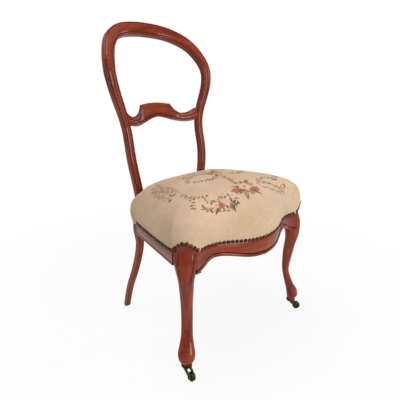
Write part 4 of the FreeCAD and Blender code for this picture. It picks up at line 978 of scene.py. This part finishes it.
# %% Add the swelling, the pull of the nails and the tuck at the stiles
def column_positions(counts):
    """Where each column of a grid lies around the outline, from 0 to 1."""
    half = np.concatenate([np.arange(count) / count + number for number, count in enumerate(counts)])
    half = np.concatenate([half, [len(counts)]])
    return np.concatenate([half, 2 * len(counts) - half[1:-1][::-1]])


field = more_rows(inflate(coarse), FINE_ROWS)
source, target = column_positions(COARSE_COUNTS), column_positions(FINE_COUNTS)
period = 2 * len(COARSE_COUNTS)
swelling = np.empty_like(fine)
for k in range(3):
    for i in range(FINE_ROWS):
        known = np.append(field[i, :, k], field[i, 0, k])
        swelling[i, :, k] = np.interp(target, np.append(source, period), known)
for _ in range(4):
    swelling = (np.roll(swelling, 3, axis=1) + swelling + np.roll(swelling, -3, axis=1)) / 3
fine = fine + swelling

NAIL_PITCH, NAIL_PULL, EDGE_TUCK = 11.4, 0.55, 0.5
edge = fine[0]
edge_steps = np.linalg.norm(np.diff(np.vstack([edge, edge[:1]]), axis=0), axis=1)
edge_place = np.concatenate([[0], np.cumsum(edge_steps)[:-1]])
rise = fine[:, :, 2] - edge[None, :, 2]
pull = NAIL_PULL * np.cos(2 * math.pi * edge_place / NAIL_PITCH)[None, :] * np.exp(-rise / 9.0)
inward = np.dstack([-fine_flat[:, :, 0], -fine_flat[:, :, 1], np.zeros(rise.shape)])
inward /= np.maximum(np.linalg.norm(inward, axis=2, keepdims=True), 1e-6)
fine = fine + inward * (pull + EDGE_TUCK * np.exp(-rise / 5.0))[:, :, None]

CROWN_LIFT = 5.0
depths = fine[:, :, 1]
lift = smooth_step(depths, 40, 190) * (1 - smooth_step(depths, 250, 325)) * smooth_step(rise, 70, 110)
fine[:, :, 2] += CROWN_LIFT * lift

STILE_PLACE, STILE_TUCK = (134.0, 323.0), 5.0
for mirror in (1, -1):
    away = np.hypot(fine[:, :, 0] - STILE_PLACE[0] * mirror, fine[:, :, 1] - STILE_PLACE[1])
    tuck = STILE_TUCK * np.exp(-(np.maximum(away - 14.0, 0) / 12.0) ** 2) * smooth_step(rise, 20, 60)
    fine[:, :, 2] -= tuck
print("height of the crown over the floor:", round(float(fine[:, :, 2].max()) - FLOOR), "mm")

# %% [markdown]
# ## Needlepoint flowers
# The panel is worked in small square stitches, so every stitch has one colour. The design is a
# traditional wreath: a bunch of full roses at the front, a smaller one behind, and thin leafy
# sprays with buds between them. Each flower and leaf is a simple shape in real size on the flat
# panel, and the colour of a stitch is that of the shape that covers its middle.

# %% Flowers, leaves and stems on the flat panel
STITCH = 2.1
GROUND = linear(229, 204, 177)
GROUND_SHADE = linear(216, 188, 158)
ROSE_DEEP, ROSE, ROSE_PALE = linear(150, 70, 62), linear(204, 134, 116), linear(232, 192, 168)
BROWN, OLIVE = linear(104, 72, 56), linear(126, 108, 72)
GREY, OCHRE = linear(108, 102, 92), linear(182, 140, 76)
MAUVE, BLUE = linear(150, 108, 106), linear(126, 120, 124)


def rose(centre, radius, turn, shades=(ROSE_DEEP, ROSE, ROSE_PALE)):
    """A full rose: a deep heart, a ring of pale petals and scalloped darker outer petals."""
    def colour(x, y):
        dx, dy = x - centre[0], y - centre[1]
        away, angle = np.hypot(dx, dy) / radius, np.arctan2(dy, dx) + turn
        petals = np.cos(5 * angle + 3.5 * away) > 0.0
        shade = np.where(away < 0.22, 0, np.where(away < 0.6, 2 - petals, 1 + (petals & (away > 0.72))))
        return away < 0.86 + 0.14 * np.cos(5 * angle), np.array(shades)[shade]
    return colour


def blossom(centre, radius, outer, heart, petals=5):
    def colour(x, y):
        dx, dy = x - centre[0], y - centre[1]
        away, angle = np.hypot(dx, dy) / radius, np.arctan2(dy, dx)
        inside = away < 0.62 + 0.38 * np.cos(petals * angle)
        return inside | (away < 0.4), np.where((away < 0.34)[..., None], heart, outer)
    return colour


def leaf(base, direction, length, width, shade):
    """A pointed leaf with a lighter vein."""
    way = np.array([math.cos(math.radians(direction)), math.sin(math.radians(direction))])

    def colour(x, y):
        along = ((x - base[0]) * way[0] + (y - base[1]) * way[1]) / length
        across = np.abs(-(x - base[0]) * way[1] + (y - base[1]) * way[0])
        inside = (along > 0) & (along < 1) & (across < width * np.sin(np.pi * np.clip(along, 0, 1)) ** 0.8)
        vein = (across < 0.8) & (along > 0.25) & (width > 3)
        return inside, np.where(vein[..., None], OCHRE, shade)
    return colour


def stem(points, width, shade):
    line = SmoothLine(points)
    steps = line.at(np.linspace(0, line.knots[-1], max(8, int(line.knots[-1] / 4))))

    def colour(x, y):
        nearest = np.full(x.shape, 1e9)
        for px, py in steps:
            nearest = np.minimum(nearest, np.hypot(x - px, y - py))
        return nearest < width, np.broadcast_to(np.array(shade), (*x.shape, 3))
    return colour


# %% [markdown]
# Stems follow smooth lines, and leaves sit on them in turn to the left and right. Most sprays are
# mirrored to the other side of the panel. Later shapes lie on top of earlier ones.

# %% Arrange the wreath
def heading(line, place):
    here, ahead = line.at(place)[0], line.at(place + 1.0)[0]
    return here, math.degrees(math.atan2(ahead[1] - here[1], ahead[0] - here[0]))


def spray(points, leaves, buds, shade):
    """A thin stem with small leaves and curls along it, and buds at chosen shares of its length."""
    line = SmoothLine(points)
    shapes = [stem(points, 1.05, shade)]
    for number in range(leaves):
        here, way = heading(line, line.knots[-1] * (number + 0.6) / leaves)
        side = 1 if number % 2 else -1
        shapes.append(leaf(here, way + side * 50, 10.5, 2.4, (OLIVE, BROWN, GREY)[number % 3]))
        if number % 3 == 1:
            turn = math.radians(way - side * 60)
            tip = here + np.array([math.cos(turn), math.sin(turn)]) * 9.0
            hook = tip + np.array([math.cos(turn + side * 1.4), math.sin(turn + side * 1.4)]) * 6.0
            shapes.append(stem([here, tip, hook], 0.9, shade))
        else:
            shapes.append(leaf(here, way - side * 64, 7.0, 1.7, (BROWN, OLIVE, GREY)[number % 3]))
    for share, radius, outer in buds:
        shapes.append(blossom(line.at(line.knots[-1] * share)[0], radius, outer, ROSE_DEEP))
    return shapes


def pair_of_sprays(points, *rest):
    return spray(points, *rest) + spray([(-x, y) for x, y in points], *rest)


def leaf_star(centre, reach, width, turns, shades):
    return [leaf(centre, turn, reach * (0.85 + 0.3 * (number % 2)), width, shades[number % len(shades)])
            for number, turn in enumerate(turns)]


DEEP_ROSE = (ROSE_DEEP, linear(176, 82, 70), ROSE)
PALE_ROSE = (linear(178, 96, 82), ROSE_PALE, linear(238, 210, 186))
wreath = pair_of_sprays([(-140, 112), (-158, 68), (-160, 22), (-174, -28)], 12,
                        [(0.2, 5, ROSE_PALE), (0.5, 5, ROSE), (0.97, 6, ROSE_DEEP)], BROWN)
wreath += pair_of_sprays([(-118, 116), (-136, 84), (-144, 48), (-148, 8), (-160, -26)], 11,
                         [(0.35, 5, MAUVE), (0.65, 5, ROSE), (0.95, 5, ROSE_PALE)], OLIVE)
wreath += pair_of_sprays([(-156, 92), (-174, 56), (-182, 14), (-190, -34)], 9,
                         [(0.6, 5, ROSE), (1.0, 6, ROSE_DEEP)], GREY)
wreath += pair_of_sprays([(-160, -48), (-170, -78), (-158, -102), (-132, -114)], 8, [(0.6, 4, ROSE)], OLIVE)
wreath += pair_of_sprays([(-166, -92), (-182, -112), (-196, -130)], 4, [], GREY)
wreath += spray([(-60, -148), (-86, -170), (-114, -162), (-148, -154), (-172, -136)], 11,
                [(0.66, 6, ROSE_DEEP), (0.83, 5, ROSE), (0.95, 6, ROSE_DEEP)], BROWN)
wreath += spray([(-70, -140), (-96, -132), (-122, -136), (-150, -126)], 7, [(0.5, 5, ROSE_PALE)], OLIVE)
wreath += spray([(34, -132), (66, -126), (100, -138), (134, -150), (160, -146)], 12,
                [(0.45, 5, ROSE_DEEP), (0.72, 5, MAUVE), (1.0, 6, ROSE_DEEP)], BROWN)
wreath += spray([(40, -144), (76, -160), (112, -166), (142, -158)], 9,
                [(0.4, 5, ROSE), (0.9, 5, ROSE_DEEP)], OLIVE)
wreath += spray([(50, -118), (86, -104), (116, -108), (138, -124)], 8, [(0.6, 5, ROSE_PALE)], GREY)
wreath += [rose((-117, -152), 10, 0.3, DEEP_ROSE), blossom((-132, -146), 6, ROSE_PALE, ROSE),
           blossom((-108, -171), 6, ROSE, OCHRE), blossom((-88, -163), 10, BLUE, OCHRE)]
wreath += leaf_star((-88, -163), 20, 3, (20, 70, 200, 250, 330), (BROWN, GREY, OLIVE))
wreath.append(blossom((-88, -163), 9, BLUE, OCHRE))

MAIN, CENTRE = (-14, -132), (-8, -10)
wreath += leaf_star(MAIN, 46, 5.5, (8, 38, 66, 100, 148, 176, 204, 236, 268, 300, 334),
                    (OCHRE, BROWN, OLIVE, OCHRE, GREY))
wreath += [rose((-48, -134), 12, 0.9, DEEP_ROSE), rose((12, -149), 13, 2.1, DEEP_ROSE),
           rose((-32, -153), 11, 1.4), rose((16, -122), 11, 0.2), rose((-11, -128), 21, 0.5, PALE_ROSE),
           blossom((-38, -114), 7, ROSE_PALE, OCHRE), blossom((-8, -160), 7, MAUVE, OCHRE)]
wreath += leaf_star(CENTRE, 30, 4, (15, 60, 110, 150, 200, 245, 290, 340), (OLIVE, BROWN, OCHRE, GREY))
wreath += [rose((-22, -4), 10, 1.2, DEEP_ROSE), rose((12, 0), 10, 2.0), rose((-3, -15), 15, 0.1),
           blossom((16, -22), 6, ROSE_PALE, ROSE_DEEP)]
for points, leaves in (([(-30, 2), (-58, 20), (-90, 10), (-106, -14)], 9),
                       ([(-18, -30), (-44, -46), (-74, -42), (-98, -26)], 9),
                       ([(-14, 8), (-26, 32), (-52, 42), (-86, 36)], 8)):
    wreath += pair_of_sprays(points, leaves, [(0.5, 5, ROSE_DEEP), (0.85, 5, ROSE)], BROWN)
wreath += spray([(-4, -30), (-12, -56), (-14, -84)], 6, [(0.5, 5, ROSE), (1.0, 5, ROSE_DEEP)], OLIVE)
print("shapes in the wreath:", len(wreath))

# %% [markdown]
# The flat panel is divided into square stitches. Each one takes a shade of the ground at random, from
# a fixed seed, and then the colour of the last shape that covers its middle.

# %% Colour every stitch
stitch_x = (np.floor(fine_flat[:, :, 0] / STITCH) + 0.5) * STITCH
stitch_y = (np.floor(fine_flat[:, :, 1] / STITCH) + 0.5) * STITCH
generator = np.random.default_rng(7)
table = generator.random((512, 512))
speck = table[(stitch_x / STITCH).astype(int) % 512, (stitch_y / STITCH).astype(int) % 512][..., None]
colours = np.array(GROUND) * speck + np.array(GROUND_SHADE) * (1 - speck)
for shape in wreath:
    inside, shade = shape(stitch_x, stitch_y)
    colours = np.where(inside[..., None], shade * (0.88 + 0.24 * speck), colours)
print("stitches across the panel:", len(np.unique(stitch_x)))

# %% [markdown]
# The finish under the flowers is wool on canvas: soft, dull, with rows of slanting stitches that
# stand up a little. Light slides over it with a faint sheen, and years of use have left slow
# yellowish and greyish clouds.

# %% The needlepoint finish
def needlepoint_finish():
    finish = Finish("needlepoint wool")
    colour = finish.node("Attribute", output=0, attribute_name="stitch")
    flat = finish.node("Attribute", output=1, attribute_name="grain")
    pitch = 1000.0 / STITCH
    across = (flat.part(0) * (pitch * math.pi)).wave().size()
    down = (flat.part(1) * (pitch * math.pi)).wave().size()
    slant = ((flat.part(0) + flat.part(1)) * (pitch * math.pi * 2)).wave()
    stitches = across * down * 0.7 + slant * 0.15
    clouds = finish.node("TexNoise", {"Vector": flat, "Scale": 9.0, "Detail": 4.0, "Roughness": 0.6})
    wool = finish.node("TexNoise", {"Vector": flat, "Scale": 900.0, "Detail": 2.0})
    aged = clouds.step(0.35, 0.7).blend(rgba((0.88, 0.85, 0.80)), rgba((1.0, 0.99, 0.97)))
    worn = finish.node("Mix", {0: 1.0, 6: colour, 7: aged}, output=2, data_type="RGBA",
                       blend_type="MULTIPLY")
    # Painted shade in the hollows between the stitches.
    painted_gap_shade = (1.0 - stitches.step(0.02, 0.30)) * 0.28
    colour = painted_gap_shade.blend(worn, rgba(linear(150, 122, 96)))
    return finish.surface(color=colour, roughness=0.92, normal=(stitches + wool * 0.3).bump(0.5, 0.0006),
                          sheen=0.12, sheen_roughness=0.5, specular=0.25)


needlepoint = needlepoint_finish()

# %% [markdown]
# One more ring turns in under the nails as a hem. The stitch colours are stored on the points of the
# mesh, where the finish reads them.

# %% Skin the cover
HEM_TURN = 2.0
hem = fine[0] + inward[0] * HEM_TURN
cover_rings = np.concatenate([hem[None], fine])
cover_flat = np.concatenate([fine_flat[:1], fine_flat])
cover = skin("needlepoint_seat_cover", cover_rings, cover_flat, needlepoint,
             ["seat_cover", "seat_stuffing"], sharp=80)
all_colours = np.concatenate([colours[:1], colours]).reshape(-1, 3)
stitch_attribute = cover.data.attributes.new("stitch", "FLOAT_COLOR", "POINT")
stitch_attribute.data.foreach_set("color", np.column_stack([all_colours, np.ones(len(all_colours))]).ravel())

# %% [markdown]
# ## Under the seat
# Seen from below, jute webbing crosses under the springs, each strip going over one and under the
# next. Hessian is stretched over the spring tops, a little inside the rails.

# %% Interlaced webbing
WEB_HALF, WEB_THICK = 25.0, 2.0
CROSS_ROWS, LONG_COLUMNS = (95.0, 160.0, 225.0), (-75.0, 0.0, 75.0)


def web_bottom(y):
    return nail_plane(y) - SIDE_DEPTH


STRIP_RING = ((-1, 0), (-0.97, 1), (-0.5, 1), (0, 1), (0.5, 1), (0.97, 1), (1, 0), (0.97, -1), (0.5, -1),
              (0, -1), (-0.5, -1), (-0.97, -1))


def strip(name, centre_line, half_width, node, phase):
    """A flat strip along a line of points, waving over and under the strips that it crosses."""
    places = np.asarray(centre_line, float)
    tangent = np.gradient(places, axis=0)
    tangent /= np.linalg.norm(tangent, axis=1, keepdims=True)
    across = np.cross(tangent, [0, 0, 1])
    across /= np.linalg.norm(across, axis=1, keepdims=True)
    rings, grain = [], []
    distance = 0.0
    for number, (place, way) in enumerate(zip(places, across)):
        distance += 0 if number == 0 else np.linalg.norm(place - places[number - 1])
        rings.append([place + way * (half_width * u) + np.array([0, 0, v * WEB_THICK / 2 * 0.8])
                      for u, v in STRIP_RING])
        grain.append([(distance, u * half_width, phase) for u, _ in STRIP_RING])
    return skin(name, np.array(rings), np.array(grain), jute, node, sharp=70)


CROSS_POINTS, LONG_POINTS = 90, 110
for number, y in enumerate(CROSS_ROWS):
    reach = side_face(y) - 8.0
    xs = np.linspace(-reach, reach, CROSS_POINTS)
    wave = np.cos(math.pi * xs / 75.0) * (1 if number % 2 else -1)
    drop = -1.1 - 1.1 * (1 - wave) * smooth_step(reach - 30 - np.abs(xs), 0, 30) * 0.5
    line = np.column_stack([xs, np.full(CROSS_POINTS, y), web_bottom(y) + drop])
    strip("cross_web_%d" % (number + 1), line, WEB_HALF, ["webbing_crosswise"], 0.0)
for number, x in enumerate(LONG_COLUMNS):
    ys = np.linspace(-42.0 if x == 0 else -12.5, REAR_LINE - 6.5, LONG_POINTS)
    wave = np.cos(math.pi * (ys - 95.0) / 65.0) * (1 if number % 2 else -1)
    near = smooth_step(ys, 50, 75) * smooth_step(270 - ys, 0, 25)
    rise_over = 1.1 * (1 + wave) * near * 0.5
    line = np.column_stack([np.full(LONG_POINTS, x), ys, web_bottom(ys) - 3.4 + rise_over])
    strip("long_web_%d" % (number + 1), line, WEB_HALF, ["webbing_lengthwise"], 1.0)

# %% [markdown]
# The hessian is lowest along its edges and rises over the block of springs, with slight hollows
# between their tops. It is a stretched sheet, so the size that it was cut to is declared with it.

# %% Hessian over the springs
HESSIAN_POINTS, HESSIAN_MIDDLE, HESSIAN_REACH = 61, 152.0, 150.0
SPRINGS_OVER_WEB, HESSIAN_THICK = 115.6, 1.2


def hessian_piece():
    xs = ys = np.linspace(-1, 1, HESSIAN_POINTS)
    top = np.empty((HESSIAN_POINTS, HESSIAN_POINTS, 3))
    flat = np.empty((HESSIAN_POINTS, HESSIAN_POINTS, 3))
    for i, v in enumerate(ys):
        y = HESSIAN_MIDDLE + v * HESSIAN_REACH
        half = side_face(max(y, RAIL_FRONT_Y)) - 18.0
        for j, u in enumerate(xs):
            edge_near = min((1 - abs(u)) * half, (1 - abs(v)) * HESSIAN_REACH)
            low = nail_plane(y) + RAIL_ABOVE + 3.4
            high = web_bottom(y) + SPRINGS_OVER_WEB
            lift = float(smooth_step(np.array(edge_near), 14.0, 52.0))
            sag = 2.5 * math.sin(u * 7) * math.cos(v * 6) * lift
            top[i, j] = (u * half, y, low + (high - low) * lift - abs(sag) * 0.4)
            flat[i, j] = (u * half, y, 0)
    under = top - (0, 0, HESSIAN_THICK)
    sheet = np.concatenate([top, under[:, ::-1]], axis=1)
    sheet_flat = np.concatenate([flat, flat[:, ::-1]], axis=1)
    return skin("hessian_over_springs", sheet, sheet_flat, hessian_cloth,
                ["spring_hessian"], sharp=70)


hessian_piece()

# %% [markdown]
# ## Finishes of the pieces that stay as solids
# Nails, screws, tacks, springs, twine, corner blocks, dowels and castors already have their exact
# shape in the frame, so they only get their finish.

# %% Give the frame's own pieces their finish
node_finish = {}
for name in frame["nodes"]:
    if name.startswith("nails"):
        node_finish[name] = nail_brass
    elif name.startswith("castor") and "screws" not in name:
        node_finish[name] = castor_brass
    elif "tacks" in name or "screws" in name:
        node_finish[name] = dark_steel
    elif name.startswith("seat_spring"):
        node_finish[name] = spring_steel
    elif name == "spring_twine":
        node_finish[name] = twine_cord
    else:
        node_finish[name] = beech
for name, finish in node_finish.items():
    node = frame["nodes"][name]
    for slot in node.material_slots:
        slot.material = finish
print("finished nodes:", len(node_finish))

# %% [markdown]
# ## Light and ground
# The picture has a white surround and very soft light, strongest on the front of the seat. So a tall
# lamp stands like a window in front, with a weak one on the right and a wide one overhead.

# %% Lamps
def lamp(name, place, aim, width, height, power):
    data = bpy.data.lights.new(name, "AREA")
    data.shape = "RECTANGLE"
    data.size, data.size_y, data.energy = width, height, power
    item = bpy.data.objects.new(name, data)
    item.location = place
    item.rotation_euler = (Vector(aim) - Vector(place)).to_track_quat("-Z", "Y").to_euler()
    bpy.context.scene.collection.objects.link(item)
    return item


seat_middle = (0.0, 0.0, 0.45)
lamp("window", (-0.2, -3.0, 1.4), seat_middle, 1.3, 1.8, 50)
lamp("fill", (2.7, -0.5, 1.2), seat_middle, 1.0, 1.0, 9)
lamp("top", (-0.5, 0.4, 2.6), seat_middle, 1.4, 1.4, 26)
print("lamps:", len(bpy.data.lights))

# %% [markdown]
# The floor is a plain dull surface for the light, but the camera sees it mostly white. The surround
# is a soft warm light for the object and white for the camera.

# %% Floor and surround
NEAR_WHITE, FLOOR_HALF = 0.9, 8


def pale_floor():
    finish = Finish("pale floor")
    seen = finish.node("LightPath", output=0)
    glossy = finish.node("LightPath", output=3)
    plain = finish.node("BsdfDiffuse", {"Color": (0.9, 0.9, 0.9, 1)})
    bright = finish.node("Emission", {"Color": (1, 1, 1, 1), "Strength": 1.0})
    place = finish.node("TexCoord", output=3)
    away = finish.node("VectorMath", {0: place}, output=1, operation="LENGTH").step(0.35, 1.5)
    share = finish.node("Math", {0: seen, 1: glossy * 0.15}, operation="MAXIMUM")
    share = share * (NEAR_WHITE + away * (1 - NEAR_WHITE))
    shader = finish.node("MixShader", {0: share, 1: plain, 2: bright})
    finish.output(shader)
    return finish.material


floor_mesh = bpy.data.meshes.new("floor")
floor_corners = [(x * FLOOR_HALF, y * FLOOR_HALF, 0) for x, y in ((-1, -1), (1, -1), (1, 1), (-1, 1))]
floor_mesh.from_pydata(floor_corners, [], [(0, 1, 2, 3)])
floor_mesh.materials.append(pale_floor())
floor = bpy.data.objects.new("floor", floor_mesh)
bpy.context.scene.collection.objects.link(floor)

world = bpy.data.worlds.new("surround")
bpy.context.scene.world = world
world.use_nodes = True
world.node_tree.nodes.clear()


class Surround(Finish):
    """The same node helper, on the world's own tree."""

    def __init__(self, item):
        self.material, self.tree = item, item.node_tree


surround = Surround(world)
seen = surround.node("LightPath", output=0)
glossy = surround.node("LightPath", output=3)
white = surround.node("Background", {"Color": (1, 1, 1, 1), "Strength": 1.0})
soft = surround.node("Background", {"Color": (1.0, 0.93, 0.86, 1), "Strength": 0.38})
share = surround.node("Math", {0: seen, 1: glossy * 0.1}, operation="MAXIMUM")
mixed = surround.node("MixShader", {0: share, 1: soft, 2: white})
end = surround.tree.nodes.new("ShaderNodeOutputWorld")
surround.tree.links.new(mixed.socket, end.inputs["Surface"])
print("floor of", 2 * FLOOR_HALF, "m and a surround")
